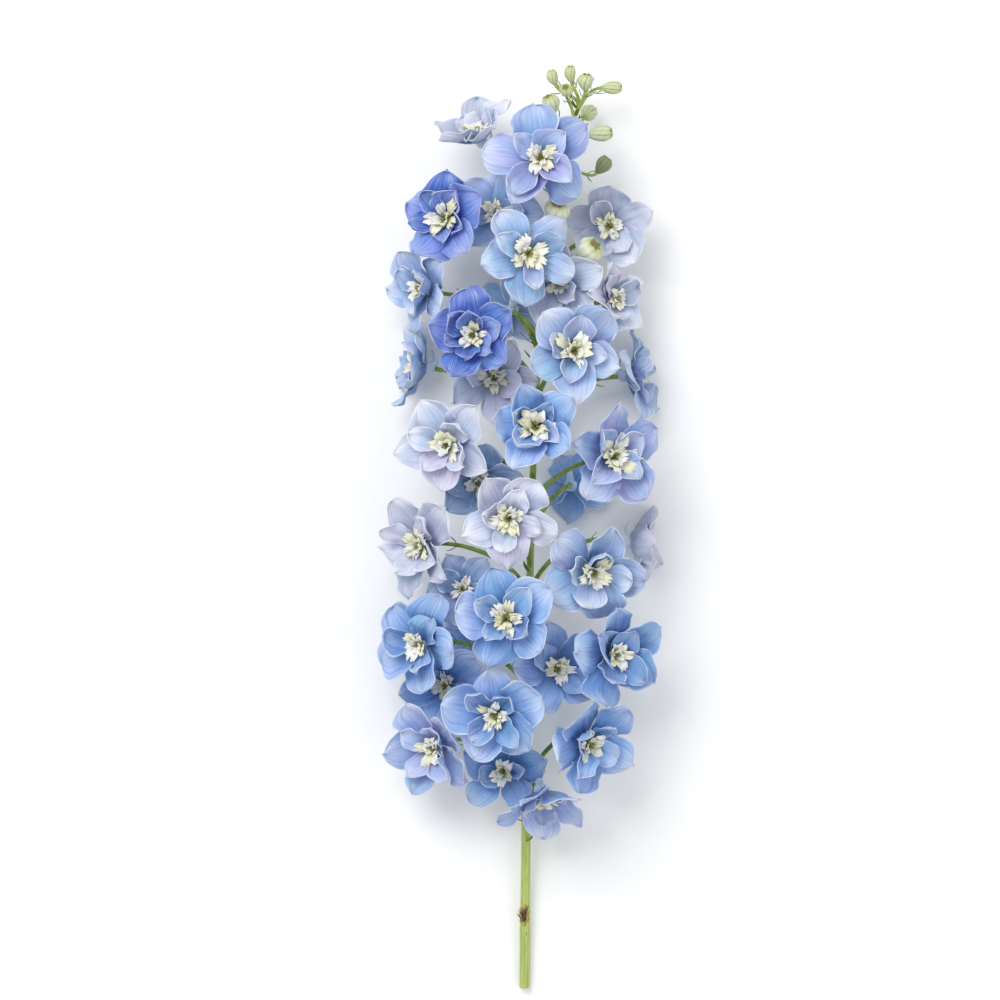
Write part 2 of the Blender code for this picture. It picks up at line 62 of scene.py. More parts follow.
# The growth plan: the same driving sizes as the frame's solids, in millimetres
FOOTPRINT_SHIFT = np.array((1.8, 1.0, 0.0))
STEM_END_RADIUS = 2.7
STEM_TIP_RADIUS = 0.8
PEDICEL_RADIUS = 1.0
BUD_STALK_RADIUS = 0.7
SPUR_LENGTH = 12.0
SPUR_RADIUS = 2.0
SPUR_LEAN_DEG = 42.0
SPUR_BEND = 0.9
SEAT_GAP = 0.3
CLUSTER_FOOT_Y = 178.0
CORE_RADIUS = 3.4
CORE_HALF_HEIGHT = 3.4
CORE_CENTRE_Z = -1.2
BEE_FOOT_Z = CORE_CENTRE_Z + CORE_HALF_HEIGHT + SEAT_GAP
BLADE_ROOT = 0.8
SEPAL_COUNT = 5
BEE_SPAN = 45.0
PEDICEL_RUN = 26.0
BUD_STALK_RUN = 14.0
# The stem's centre line, as (x, y, z)
STEM_LINE = (
    (0.0, -236.0, 2.72),
    (0.5, -190.0, 6.0),
    (1.0, -140.0, 14.0),
    (1.5, -90.0, 24.0),
    (2.5, -30.0, 30.0),
    (4.5, 40.0, 31.0),
    (8.0, 100.0, 30.0),
    (13.0, 150.0, 28.0),
    (19.0, 190.0, 26.0),
    (28.0, 216.0, 25.0),
)
STEM_FOOT_Y = STEM_LINE[0][1]
STEM_TIP_Y = STEM_LINE[-1][1]

# Where the lowest leaf was: how far along the stem, and which way round it
SCAR_Y = -198.0
SCAR_TURN_DEG = 104.0
SHRED_COUNT = 15
SHRED_THICKNESS = 0.00022
BRACT_THICKNESS = 0.00028
STAMEN_COUNT = 13

# The photo's scale and where it puts the spike: its centre is this point of the spike, in metres
VIEW_CENTRE = (-0.0107, 0.0155)
FLORET_LEVEL = 0.045
SENSOR_WIDTH = 36.0


# An open flower: where its petals meet, which way it faces, and how it is built
Floret = namedtuple("Floret", "name at faces span breadth spin rise inner colour")
FLORET_ROWS = (
    ((8, 184, 50), (-0.1, 0.1, 1.0), 56, 0.4, 10, (32, 2), 4, "lavender"),
    ((-38, 155, 38), (-0.5, 0.1, 1.0), 46, 0.5, 0, (38, 14), 5, "deep_blue"),
    ((1, 137, 56), (0.1, -0.12, 1.0), 50, 0.36, 30, (28, 0), 3, "pale_blue"),
    ((-25, 96, 60), (-0.2, 0.0, 1.0), 44, 0.48, 12, (36, 20), 6, "deep_blue"),
    ((23, 88, 60), (0.22, 0.0, 1.0), 49, 0.43, 40, (32, 6), 4, "pale_blue"),
    ((5, 50, 66), (0.0, 0.1, 1.0), 44, 0.46, 20, (36, 28), 4, "sky_blue"),
    ((-37, 42, 54), (-0.35, -0.1, 1.0), 49, 0.44, 24, (32, 4), 4, "lavender_white"),
    ((-8, 6, 66), (0.0, -0.1, 1.0), 48, 0.43, 36, (30, 6), 4, "lavender_white"),
    ((42, 36, 50), (0.5, 0.05, 1.0), 51, 0.44, 4, (34, 6), 4, "lavender"),
    ((-9, -44, 67), (-0.1, 0.05, 1.0), 50, 0.46, 16, (30, 4), 4, "sky_blue"),
    ((32, -20, 55), (0.35, -0.3, 1.0), 50, 0.46, 50, (34, 10), 4, "pale_blue"),
    ((42, -62, 44), (0.65, -0.2, 1.0), 50, 0.48, 18, (36, 22), 4, "sky_blue"),
    ((-14, -91, 60), (-0.25, -0.15, 1.0), 49, 0.48, 8, (30, 6), 4, "sky_blue"),
    ((30, -106, 45), (0.55, -0.3, 1.0), 48, 0.5, 30, (34, 20), 4, "sky_blue"),
    ((-50, -8, 40), (-0.8, -0.1, 1.0), 50, 0.44, 22, (32, 8), 4, "lavender_white"),
    ((-50, -57, 41), (-0.8, -0.1, 1.0), 51, 0.43, 44, (30, 4), 3, "sky_blue"),
    ((-43, -109, 34), (-0.8, -0.35, 1.0), 49, 0.44, 14, (32, 10), 4, "lavender"),
    ((8, -132, 36), (0.15, -1.0, 0.55), 46, 0.44, 26, (42, 24), 3, "lavender"),
    ((-50, 82, 15.5), (-1.0, 0.15, 0.3), 44, 0.44, 34, (36, 18), 3, "pale_blue"),
    ((52, 78, 15.0), (1.0, 0.1, 0.3), 44, 0.44, 12, (36, 18), 3, "pale_blue"),
    ((54, -6, 15), (1.0, -0.1, 0.15), 42, 0.44, 28, (38, 20), 3, "lavender_white"),
    ((-6, 112, 11.5), (0.0, 0.1, -1.0), 38, 0.44, 6, (40, 34), 2, "pale_blue"),
    ((24, 22, 11.5), (0.2, 0.0, -1.0), 38, 0.44, 40, (40, 34), 2, "sky_blue"),
    ((-24, -50, 11.5), (-0.2, 0.0, -1.0), 38, 0.44, 18, (40, 34), 2, "sky_blue"),
    ((-49, 120, 33), (-0.8, 0.1, 0.7), 42, 0.43, 20, (34, 12), 3, "pale_blue"),
    ((42, 115, 32), (0.8, 0.1, 0.7), 40, 0.43, 8, (34, 12), 3, "lavender_white"),
    ((-22, 196, 32), (-0.4, 0.8, 0.5), 42, 0.43, 30, (40, 24), 3, "lavender_white"),
    ((-30, -30, 42), (-0.2, 0.0, 1.0), 36, 0.43, 30, (30, 4), 2, "pale_blue"),
    ((-14, 159, 31), (-0.01, -0.03, 1.0), 44, 0.43, 60, (30, 6), 2, "pale_blue"),
    ((16, 124, 41), (-0.03, -0.12, 1.0), 44, 0.43, 6, (38, 20), 2, "lavender_white"),
    ((-16, 76, 39), (0.05, -0.12, 1.0), 44, 0.43, 42, (38, 20), 2, "lavender_white"),
    ((-24, 25, 32), (0.13, -0.39, 1.0), 44, 0.43, 60, (30, 6), 2, "pale_blue"),
    ((15, -70, 42), (0.18, 0.0, 1.0), 46, 0.43, 12, (30, 6), 2, "sky_blue"),
    ((-10, -122, 27), (-0.16, -0.1, 1.0), 44, 0.43, 66, (34, 12), 2, "sky_blue"),
    ((-39, -79, 24), (-0.25, -0.06, 1.0), 44, 0.43, 24, (38, 20), 2, "sky_blue"),
    ((43, 153, 21), (-0.05, 0.0, 1.0), 44, 0.43, 0, (30, 6), 2, "lavender_white"),
)
FLORETS = tuple(Floret(f"{i:02d}", *row) for i, row in enumerate(FLORET_ROWS, 1))
# The florets whose petals are nearly white
PALEST = ("07", "08")
# The others look aside, down or from behind, and their bee is one solid with their petals
OWN_BEES = (*(f"{i:02d}" for i in range(1, 19)), "25", "26")
# How much larger than the rest the bees of some florets are
BEE_GROWTH = {"02": 1.3, "05": 1.25, "06": 1.5, "08": 1.15, "09": 1.3, "10": 1.15, "11": 1.15}


# A closed bud: its middle, the way its tip points, its length and its width
Bud = namedtuple("Bud", "name node at faces length width")
BUD_ROWS = (
    ("tip_1", "bud_cluster", (14.5, 228, 29), (-0.3, 1.0, 0.1), 9, 5.5),
    ("tip_2", "bud_cluster", (23.5, 229.5, 30), (-0.1, 1.0, 0.3), 10, 5.5),
    ("tip_3", "bud_cluster", (31, 225, 33), (0.1, 1.0, 0.4), 10, 7.5),
    ("tip_4", "bud_cluster", (44, 223.5, 25), (1.0, 0.05, -0.1), 12, 6.5),
    ("tip_5", "bud_cluster", (20.5, 220, 38), (-0.1, 0.5, 1.0), 8, 6.5),
    ("tip_6", "bud_cluster", (13, 214, 33), (-0.4, 0.9, 0.5), 11, 8.5),
    ("tip_7", "bud_cluster", (33, 212, 12), (0.5, 0.6, -0.8), 11, 8),
    ("tip_8", "bud_cluster", (38, 199.5, 31), (1.0, 0.12, 0.1), 14, 8),
    ("tip_9", "bud_cluster", (39.5, 184, 26), (0.6, 0.8, 0.1), 11, 7.5),
    ("side_1", "bud_1", (15, 158.5, 43), (0.2, 0.7, 0.7), 14, 12.5),
    ("side_2", "bud_2", (31, 138.5, 46), (0.6, 0.5, 0.6), 16, 13),
)
BUDS = tuple(Bud(*row) for row in BUD_ROWS)
# The one bud that gets painted shade: it lies in shadow, so it is darkened to dark olive
SHADED_BUD = "tip_9"


def number_field(name, description, default, least, most, unit="LENGTH"):
    """A length, or a plain number, that a user can change."""
    return bpy.props.FloatProperty(
        name=name, description=description, default=default, min=least, max=most, unit=unit
    )


def colour_field(name, description, default):
    """A colour that a user can change."""
    return bpy.props.FloatVectorProperty(
        name=name, description=description, default=default, size=3, min=0.0, max=1.0, subtype="COLOR"
    )


class SpikeSizes(bpy.types.PropertyGroup):
    """How finely the petals, the bees and the stem are finished."""

    petal_thickness: number_field("Petal thickness", "How thick a sepal or petal is", 0.00036, 0.0001, 0.001)
    ruffle: number_field("Ruffle", "How far a petal's margin waves up and down", 0.0011, 0.0, 0.003)
    pleat: number_field("Pleat", "How deep the fine folds along a petal are", 0.00012, 0.0, 0.0005)
    tongue_length: number_field("Bee tongue length", "How long an outer tongue is", 0.0088, 0.004, 0.012)
    tongue_thickness: number_field("Bee tongue thickness", "How thick a tongue is", 0.00045, 0.0001, 0.001)
    ridge_depth: number_field("Stem ridge depth", "How far the ridges stand out", 0.00022, 0.0, 0.001)


class SpikeColours(bpy.types.PropertyGroup):
    """The colours of the petals, bees, buds and stem."""

    deep_blue: colour_field("Deep blue", "Petals of the two darkest florets", (0.06, 0.19, 0.78))
    sky_blue: colour_field("Sky blue", "Petals of the lower florets", (0.21, 0.46, 0.92))
    pale_blue: colour_field("Pale blue", "Petals of the paler florets", (0.38, 0.56, 0.9))
    lavender: colour_field("Lavender", "Petals with a violet cast", (0.37, 0.52, 0.92))
    lavender_white: colour_field("Lavender white", "The palest petals", (0.7, 0.74, 0.92))
    bee_cream: colour_field("Bee cream", "The frilled centre of a floret", (0.95, 0.93, 0.72))
    bee_base: colour_field("Bee base", "The foot of the frilled centre", (0.5, 0.56, 0.16))
    anther: colour_field("Anther", "The stamens' heads", (0.2, 0.17, 0.05))
    bud_white: colour_field("Bud white", "The body of a large bud", (0.86, 0.87, 0.7))
    bud_green: colour_field("Bud green", "The grooves and tip of a bud", (0.26, 0.38, 0.07))
    stem_green: colour_field("Stem green", "The stem's lit green", (0.4, 0.5, 0.1))
    # The pedicels' own green, made darker as painted shade for the shade among the florets
    stalk_green: colour_field("Stalk green", "The pedicels and bracts", (0.13, 0.23, 0.04))
    scar_brown: colour_field("Scar brown", "The scar where a leaf grew", (0.15, 0.08, 0.03))


class StageSettings(bpy.types.PropertyGroup):
    """The surface, the light and the camera."""

    floor_colour: colour_field("Floor colour", "The pale surface", (0.93, 0.93, 0.93))
    key_power: number_field("Key power", "The power of the soft key light", 14.0, 0.0, 200.0, "NONE")
    fill_power: number_field("Fill power", "The power of the soft fill light", 3.0, 0.0, 200.0, "NONE")
    sky_strength: number_field("Sky strength", "The even light from all round", 0.74, 0.0, 5.0, "NONE")
    camera_height: number_field("Camera height", "How far the camera is above the florets", 1.5, 0.5, 5.0)
    frame_width: number_field("Frame width", "How wide the view is at the florets", 0.5, 0.1, 2.0)


def palette(context):
    """The chosen colours, by name."""
    chosen = context.scene.spike_colours
    return {key: tuple(getattr(chosen, key)) for key in SpikeColours.__annotations__}


# Vectors and placements


def unit(v):
    """A vector at length one."""
    v = np.asarray(v, float)
    return v / np.linalg.norm(v)


def spread(points, *pairs):
    """Points moved along axes: each pair is how far, and the axis."""
    for amount, axis in pairs:
        points = points + np.multiply.outer(amount, axis)
    return points


class Placement(NamedTuple):
    """Where a piece is and how it is turned: three axes and an origin, in millimetres."""

    side: np.ndarray
    up: np.ndarray
    normal: np.ndarray
    at: np.ndarray

    def point(self, x, y, z):
        """Points given in the piece's own frame, in the spike's frame."""
        return spread(self.at, (x, self.side), (y, self.up), (z, self.normal))

    def flap(self, angle, out, aside, high):
        """Points of a blade that leaves the piece's middle at an angle."""
        cos, sin = math.cos(angle), math.sin(angle)
        return self.point(cos * out - sin * aside, sin * out + cos * aside, high)


def placement_of(flower):
    """A floret's or bud's place: its own +Z is the way it faces and its +Y leans to the spike's tip."""
    normal = unit(flower.faces)
    up = np.array((0.0, 1.0, 0.0)) - normal * normal[1]
    if np.linalg.norm(up) < 0.5:
        up = np.array((0.0, 0.0, 1.0)) - normal * normal[2]
    up = unit(up)
    return Placement(np.cross(up, normal), up, normal, np.asarray(flower.at, float))


def stem_point(y):
    """The stem's centre at a given y, on a smooth curve through STEM_LINE."""
    line = np.array(STEM_LINE)
    line = np.vstack((line[0] * 2 - line[1], line, line[-1] * 2 - line[-2]))
    last = len(STEM_LINE) - 2
    k = next((i for i in range(last) if y < STEM_LINE[i + 1][1]), last)
    before, a, b, after = line[k : k + 4]
    t = (y - a[1]) / (b[1] - a[1])
    lead = (b - before) * 0.5
    tail = (after - a) * 0.5
    point = (
        a * (2 * t**3 - 3 * t**2 + 1)
        + lead * (t**3 - 2 * t**2 + t)
        + b * (3 * t**2 - 2 * t**3)
        + tail * (t**3 - t**2)
    )
    return np.array((point[0], y, point[2]))


def stem_axes(y):
    """The stem's centre at a given y, the way that it runs there and two axes across it."""
    centre = stem_point(y)
    way = unit(stem_point(y + 2) - centre)
    first = unit(np.cross(way, (0.0, 0.0, 1.0)))
    return centre, way, first, np.cross(first, way)


def stem_radius(y):
    """The stem thins from its cut end to its tip."""
    share = (y - STEM_FOOT_Y) / (STEM_TIP_Y - STEM_FOOT_Y)
    return STEM_END_RADIUS + (STEM_TIP_RADIUS - STEM_END_RADIUS) * share**1.2


def smoothstep(low, high, x):
    """A soft ramp from 0 at low to 1 at high."""
    s = np.clip((x - low) / (high - low), 0, 1)
    return s * s * (3 - 2 * s)


def gauss(x, width):
    """A soft bump of height one."""
    return np.exp(-((x / width) ** 2))


def phase(vary):
    """Where a wave starts, drawn at random."""
    return vary(0, 6.28)


# Masters and copies


def only(obj):
    """Makes an object the one that the next operator acts on."""
    bpy.ops.object.select_all(action="DESELECT")
    obj.select_set(True)
    bpy.context.view_layer.objects.active = obj


def primitive(name, add, **settings):
    """Adds one new object and names it."""
    bpy.ops.object.select_all(action="DESELECT")
    add(**settings)
    obj = bpy.context.object
    obj.name = name
    return obj


def coordinates(obj):
    """The x, y and z of a mesh's points."""
    flat = np.empty(len(obj.data.vertices) * 3)
    obj.data.vertices.foreach_get("co", flat)
    return flat.reshape(-1, 3).T


def edit_picked(obj, kind, parts, wanted):
    """Selects the edges or faces of a mesh that pass a test, and stays in edit mode."""
    bpy.ops.object.mode_set(mode="EDIT")
    bpy.ops.mesh.select_mode(type=kind)
    bpy.ops.mesh.select_all(action="DESELECT")
    bpy.ops.object.mode_set(mode="OBJECT")
    for part in parts:
        part.select = wanted(part)
    bpy.ops.object.mode_set(mode="EDIT")


def master_sheet(name, columns, rows):
    """A flat grid from -0.5 to 0.5 both ways, to be shaped into a petal or a tongue."""
    add = bpy.ops.mesh.primitive_grid_add
    return primitive(name, add, x_subdivisions=columns, y_subdivisions=rows, size=1.0)


def master_rod(name, sides, rings):
    """A capped cylinder from -0.5 to 0.5 along Z, cut into rings, to be shaped into a stalk."""
    add = bpy.ops.mesh.primitive_cylinder_add
    rod = primitive(name, add, vertices=sides, radius=1.0, depth=1.0, end_fill_type="TRIFAN")
    heights = coordinates(rod)[2]
    edit_picked(rod, "EDGE", rod.data.edges, lambda edge: abs(np.ptp(heights[list(edge.vertices)])) > 0.5)
    bpy.ops.mesh.subdivide(number_cuts=rings - 1)
    bpy.ops.object.mode_set(mode="OBJECT")
    return rod


def master_ball(name, sides, rings):
    """A sphere of radius one with its poles on Z."""
    return primitive(name, bpy.ops.mesh.primitive_uv_sphere_add, segments=sides, ring_count=rings, radius=1.0)


def copy_of(master, name):
    """A copy of a master with a mesh of its own."""
    obj = bpy.data.objects.new(name, master.data.copy())
    bpy.context.collection.objects.link(obj)
    return obj


def place(obj, points, lowest=-math.inf):
    """Gives a piece its points, in millimetres before the shift to the footprint's centre."""
    points[:, 2] = np.maximum(points[:, 2], lowest)
    obj.data.vertices.foreach_set("co", ((points + FOOTPRINT_SHIFT) * MM).reshape(-1))
    obj.data.update()


def mark(obj, **numbers):
    """Writes named numbers for every point of a mesh, for its material to read."""
    for name, values in numbers.items():
        layer = obj.data.attributes.new(name, "FLOAT", "POINT")
        layer.data.foreach_set("value", np.broadcast_to(values, len(obj.data.vertices)).astype(np.float32))


def joined(name, objects):
    """Several shaped copies as one piece."""
    only(objects[0])
    for obj in objects[1:]:
        obj.select_set(True)
    bpy.ops.object.join()
    objects[0].name = objects[0].data.name = name
    return objects[0]


def thickened(obj, thickness):
    """Gives a sheet its thickness."""
    solid = obj.modifiers.new("thickness", "SOLIDIFY")
    solid.thickness = thickness
    solid.offset = 0.0
    solid.use_even_offset = False
    only(obj)
    bpy.ops.object.modifier_apply(modifier=solid.name)


def finish_piece(obj, node, material, smooth_angle=60):
    """Gives a piece its material, its smooth shading and its place in the frame."""
    obj.data.materials.append(material)
    only(obj)
    bpy.ops.object.shade_smooth_by_angle(angle=math.radians(smooth_angle))
    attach(obj, BODY)
    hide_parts(node)


def drop_masters(*masters):
    """Removes masters once their copies are made."""
    for master in masters:
        mesh = master.data
        bpy.data.objects.remove(master)
        bpy.data.meshes.remove(mesh)


# Materials


class Nodes:
    """A short way to wire a material's nodes."""

    def __init__(self, name):
        self.material = bpy.data.materials.new(name)
        self.material.use_nodes = True
        self.tree = self.material.node_tree
        self.shader = self.tree.nodes["Principled BSDF"]
        self.colour = None

    def feed(self, socket, value):
        """Links a node's output to a socket, or sets the socket's value."""
        if isinstance(value, bpy.types.NodeSocket):
            self.tree.links.new(value, socket)
        elif isinstance(value, tuple) and len(value) == 3 and len(socket.default_value) == 4:
            socket.default_value = (*value, 1.0)
        else:
            socket.default_value = value

    def add(self, kind, inputs=None, **settings):
        """Adds a node, with its settings and what feeds its sockets."""
        node = self.tree.nodes.new(kind)
        for key, value in settings.items():
            setattr(node, key, value)
        for key, value in (inputs or {}).items():
            self.feed(node.inputs[key], value)
        return node

    def math(self, operation, a, b=0.0, clamp=False):
        """A sum or the like of two numbers."""
        return self.add("ShaderNodeMath", {0: a, 1: b}, operation=operation, use_clamp=clamp).outputs[0]

    def times(self, a, b, clamp=False):
        """A product of two numbers."""
        return self.math("MULTIPLY", a, b, clamp)

    def ramp(self, value, low, high, to_low=0.0, to_high=1.0):
        """A soft ramp of a number from one range to another."""
        inputs = {"Value": value, "From Min": low, "From Max": high, "To Min": to_low, "To Max": to_high}
        return self.add("ShaderNodeMapRange", inputs, interpolation_type="SMOOTHSTEP").outputs["Result"]

    def mix(self, share, a, b):
        """A mix of two colours."""
        return self.add("ShaderNodeMix", {"Factor": share, 6: a, 7: b}, data_type="RGBA").outputs[2]

    def over(self, share, colour):
        """Lays a colour over what the piece has so far."""
        self.colour = self.mix(share, self.colour, colour)

    def noise(self, vector, scale, detail=2.0, roughness=0.5):
        """A noise over a vector."""
        inputs = {"Vector": vector, "Scale": scale, "Detail": detail, "Roughness": roughness}
        return self.add("ShaderNodeTexNoise", inputs).outputs["Fac"]

    def stretched(self, vector, *scale):
        """A vector scaled by its own amount each way."""
        return self.add("ShaderNodeMapping", {"Vector": vector, "Scale": scale}).outputs["Vector"]

    def attribute(self, name):
        """A number that the piece's points carry."""
        return self.add("ShaderNodeAttribute", attribute_name=name).outputs["Fac"]

    def object_vector(self):
        """The point's place on the piece."""
        return self.add("ShaderNodeTexCoord").outputs["Object"]

    def sheet_vector(self):
        """The point's place on its petal or tongue: across and along it, and how far along alone."""
        uv = self.add("ShaderNodeUVMap").outputs["UV"]
        return uv, self.add("ShaderNodeSeparateXYZ", {0: uv}).outputs

    def surface(self, roughness, specular):
        """Shows the colour so far, with its roughness and its shine."""
        self.feed(self.shader.inputs["Base Color"], self.colour)
        self.feed(self.shader.inputs["Roughness"], roughness)
        self.shader.inputs["Specular IOR Level"].default_value = specular

    def bump(self, height, strength, distance):
        """Fine relief from a number."""
        inputs = {"Height": height, "Strength": strength, "Distance": distance}
        normal = self.add("ShaderNodeBump", inputs).outputs["Normal"]
        self.feed(self.shader.inputs["Normal"], normal)
        return normal

    def see_through(self, colour, share, normal):
        """Lets light through a thin petal."""
        glow = self.add("ShaderNodeBsdfTranslucent", {"Color": colour, "Normal": normal}).outputs[0]
        both = self.add("ShaderNodeMixShader", {0: share, 1: self.shader.outputs[0], 2: glow})
        self.feed(self.tree.nodes["Material Output"].inputs["Surface"], both.outputs[0])


def shade(colour, factor):
    """A colour made darker or lighter."""
    return tuple(min(1.0, c * factor) for c in colour)


def toned(colour, factors):
    """A colour with each of its parts made darker by its own factor."""
    return tuple(c * k for c, k in zip(colour, factors))


def blend(a, b, share):
    """A colour between two others."""
    return tuple(x * (1 - share) + y * share for x, y in zip(a, b))


WHITE = (1.0, 1.0, 1.0)
TEAL = (0.32, 0.67, 0.9)
PINK = (0.8, 0.54, 0.84)
TIP_GREEN = (0.45, 0.52, 0.16)
# Painted shade for the bud that lies in shadow
SHADE_OLIVE = (0.16, 0.17, 0.06)

# How far each kind of petal goes to teal, to pink, to white at its end and to green at its tip
PETAL_CASTS = {
    "deep_blue": (0.4, 0.08, 0.4, 0.12),
    "sky_blue": (0.65, 0.2, 0.8, 0.42),
    "pale_blue": (0.6, 0.34, 0.95, 0.6),
    "lavender": (0.6, 0.55, 0.85, 0.42),
    "lavender_white": (0.42, 0.42, 0.95, 0.7),
}


def petal_material(kind, main):
    """A petal: veins that run along it, patches of softer hue, painted shade towards its claw, a paler end
    and a pale rim.
    """
    teal, pink, pale, green = PETAL_CASTS[kind]
    m = Nodes("petal_" + kind)
    uv, (side, along, _) = m.sheet_vector()
    across = m.times(m.math("ABSOLUTE", m.math("SUBTRACT", side, 0.5)), 2.0)
    tint, hue = m.attribute("tint"), m.attribute("hue")
    place_on = m.object_vector()
    patches = m.noise(place_on, 110.0, 2.0)
    drift = m.noise(place_on, 48.0, 1.0)
    streaks = m.noise(m.stretched(uv, 15.0, 1.6, 1.0), 1.0, 3.0, 0.6)
    veins = m.noise(m.stretched(uv, 34.0, 2.2, 1.0), 1.0, 2.0, 0.5)
    m.colour = m.mix(m.ramp(tint, 0.0, 1.0), shade(main, 0.74), blend(main, WHITE, 0.2))
    tealish = m.times(m.ramp(patches, 0.4, 0.66), m.ramp(hue, 0.75, 0.15, 0.15, teal))
    m.over(tealish, blend(main, TEAL, 0.8))
    pinkish = m.times(m.ramp(drift, 0.38, 0.62), m.ramp(hue, 0.3, 0.95, 0.05, pink))
    m.over(pinkish, blend(main, PINK, 0.7))
    paler = m.times(m.ramp(along, 0.36, 0.9), m.ramp(tint, 0.0, 1.0, pale * 0.4, pale))
    m.over(paler, blend(main, WHITE, 0.8))
    # Painted shade in the floret's throat: the petal darkens towards its claw
    m.over(m.ramp(along, 0.46, 0.08, 0.0, 0.7), toned(main, (0.4, 0.5, 0.62)))
    m.over(m.ramp(streaks, 0.46, 0.68, 0.0, 0.5), toned(main, (0.56, 0.66, 0.78)))
    m.over(m.ramp(veins, 0.54, 0.7, 0.0, 0.5), blend(main, WHITE, 0.66))
    spot = m.times(m.ramp(along, 0.84, 0.97), m.ramp(across, 0.62, 0.1))
    m.over(m.times(spot, m.ramp(hue, 0.4, 0.9, 0.0, green), clamp=True), TIP_GREEN)
    rim = m.math("MAXIMUM", m.ramp(across, 0.91, 0.99), m.ramp(along, 0.975, 0.995))
    rim = m.times(rim, m.ramp(m.noise(place_on, 170.0, 2.0), 0.36, 0.62, 0.15, 0.4 + 0.5 * pale))
    m.over(rim, blend(main, WHITE, 0.88))
    m.surface(m.ramp(streaks, 0.3, 0.7, 0.42, 0.6), 0.35)
    m.shader.inputs["Sheen Weight"].default_value = 0.1
    m.shader.inputs["Sheen Roughness"].default_value = 0.45
    normal = m.bump(m.math("ADD", m.times(streaks, 0.9), m.times(veins, 0.5)), 0.6, 0.0006)
    m.see_through(m.mix(0.35, m.colour, shade(main, 0.95)), 0.24, normal)
    return m.material


def bee_material(colours):
    """The bee's cream tongues, yellow-green at their foot."""
    m = Nodes("bee_cream")
    uv, (_, along, _) = m.sheet_vector()
    patches = m.noise(m.object_vector(), 420.0, 3.0)
    streaks = m.noise(m.stretched(uv, 7.0, 1.5, 1.0), 1.0, 3.0)
    m.colour = m.mix(m.ramp(m.attribute("tint"), 0.35, 0.75), (0.97, 0.97, 0.94), colours["bee_cream"])
    m.over(m.ramp(streaks, 0.45, 0.7, 0.0, 0.35), (0.84, 0.82, 0.52))
    m.over(m.ramp(patches, 0.5, 0.7, 0.0, 0.35), (0.88, 0.88, 0.92))
    m.over(m.ramp(along, 0.5, 0.15), colours["bee_base"])
    m.surface(0.55, 0.3)
    m.see_through(m.colour, 0.2, m.bump(m.math("ADD", patches, streaks), 0.4, 0.0003))
    return m.material


def plant_material(name, light, dark, scale, roughness, relief=0.3):
    """A green or brown plant skin with two hues in patches."""
    m = Nodes(name)
    vector = m.object_vector()
    broad = m.noise(vector, scale, 3.0, 0.55)
    fine = m.noise(vector, scale * 4.0, 3.0, 0.6)
    m.colour = m.mix(m.ramp(broad, 0.36, 0.66), light, dark)
    m.over(m.ramp(fine, 0.45, 0.75, 0.0, 0.35), shade(dark, 0.75))
    m.surface(m.ramp(fine, 0.3, 0.7, roughness - 0.08, roughness + 0.08), 0.4)
    m.bump(m.math("ADD", m.times(broad, 0.5), fine), relief, 0.0003)
    return m.material


def bud_material(colours):
    """A bud: greenish white with green grooves, a green tip and a brown pucker."""
    m = Nodes("bud_skin")
    rib, along, pale = (m.attribute(name) for name in ("rib", "along", "pale"))
    green = colours["bud_green"]
    patches = m.noise(m.object_vector(), 380.0, 3.0)
    m.colour = m.mix(pale, (0.68, 0.72, 0.42), colours["bud_white"])
    m.over(m.ramp(patches, 0.35, 0.7, 0.0, 0.4), (0.72, 0.75, 0.54))
    m.over(m.times(rib, m.ramp(pale, 0.0, 1.0, 0.85, 0.4)), shade(green, 0.8))
    m.over(m.ramp(along, 0.24, 0.07, 0.0, 0.65), blend(green, (0.6, 0.6, 0.1), 0.35))
    m.over(m.ramp(along, 0.76, 0.98, 0.0, 0.45), green)
    m.over(m.ramp(along, 0.085, 0.035, 0.0, 0.75), colours["scar_brown"])
    # Painted shade: the bud that lies in shadow is darkened towards dark olive
    m.over(m.times(m.attribute("olive"), 0.7), SHADE_OLIVE)
    m.surface(0.5, 0.4)
    m.see_through(m.colour, 0.15, m.bump(m.math("ADD", patches, rib), 0.4, 0.0003))
    return m.material


def stem_material(light):
    """The stem: long pale and darker streaks that follow its ridges."""
    m = Nodes("stem_skin")
    streaks = m.noise(m.stretched(m.object_vector(), 1.0, 0.05, 1.0), 900.0, 3.0, 0.6)
    patches = m.noise(m.stretched(m.object_vector(), 1.0, 0.3, 1.0), 90.0, 3.0)
    m.colour = m.mix(m.ramp(streaks, 0.36, 0.66, 0.0, 0.8), light, shade(light, 0.62))
    m.over(m.times(m.attribute("ridge"), 0.45), blend(light, (0.72, 0.74, 0.36), 0.6))
    m.over(m.ramp(patches, 0.55, 0.78, 0.0, 0.5), (0.4, 0.42, 0.14))
    m.surface(m.ramp(streaks, 0.3, 0.7, 0.36, 0.52), 0.45)
    m.bump(streaks, 0.4, 0.0002)
    return m.material


def floor_material(colour):
    """A plain pale matt surface."""
    m = Nodes("pale_surface")
    grain = m.noise(m.object_vector(), 60.0, 3.0)
    m.colour = m.mix(m.ramp(grain, 0.3, 0.7, 0.0, 0.25), colour, shade(colour, 0.985))
    m.surface(0.85, 0.15)
    return m.material


# Blades: sepals and petals


# One sepal or petal of a floret, in the floret's own frame
Blade = namedtuple("Blade", "angle length half_width rise")
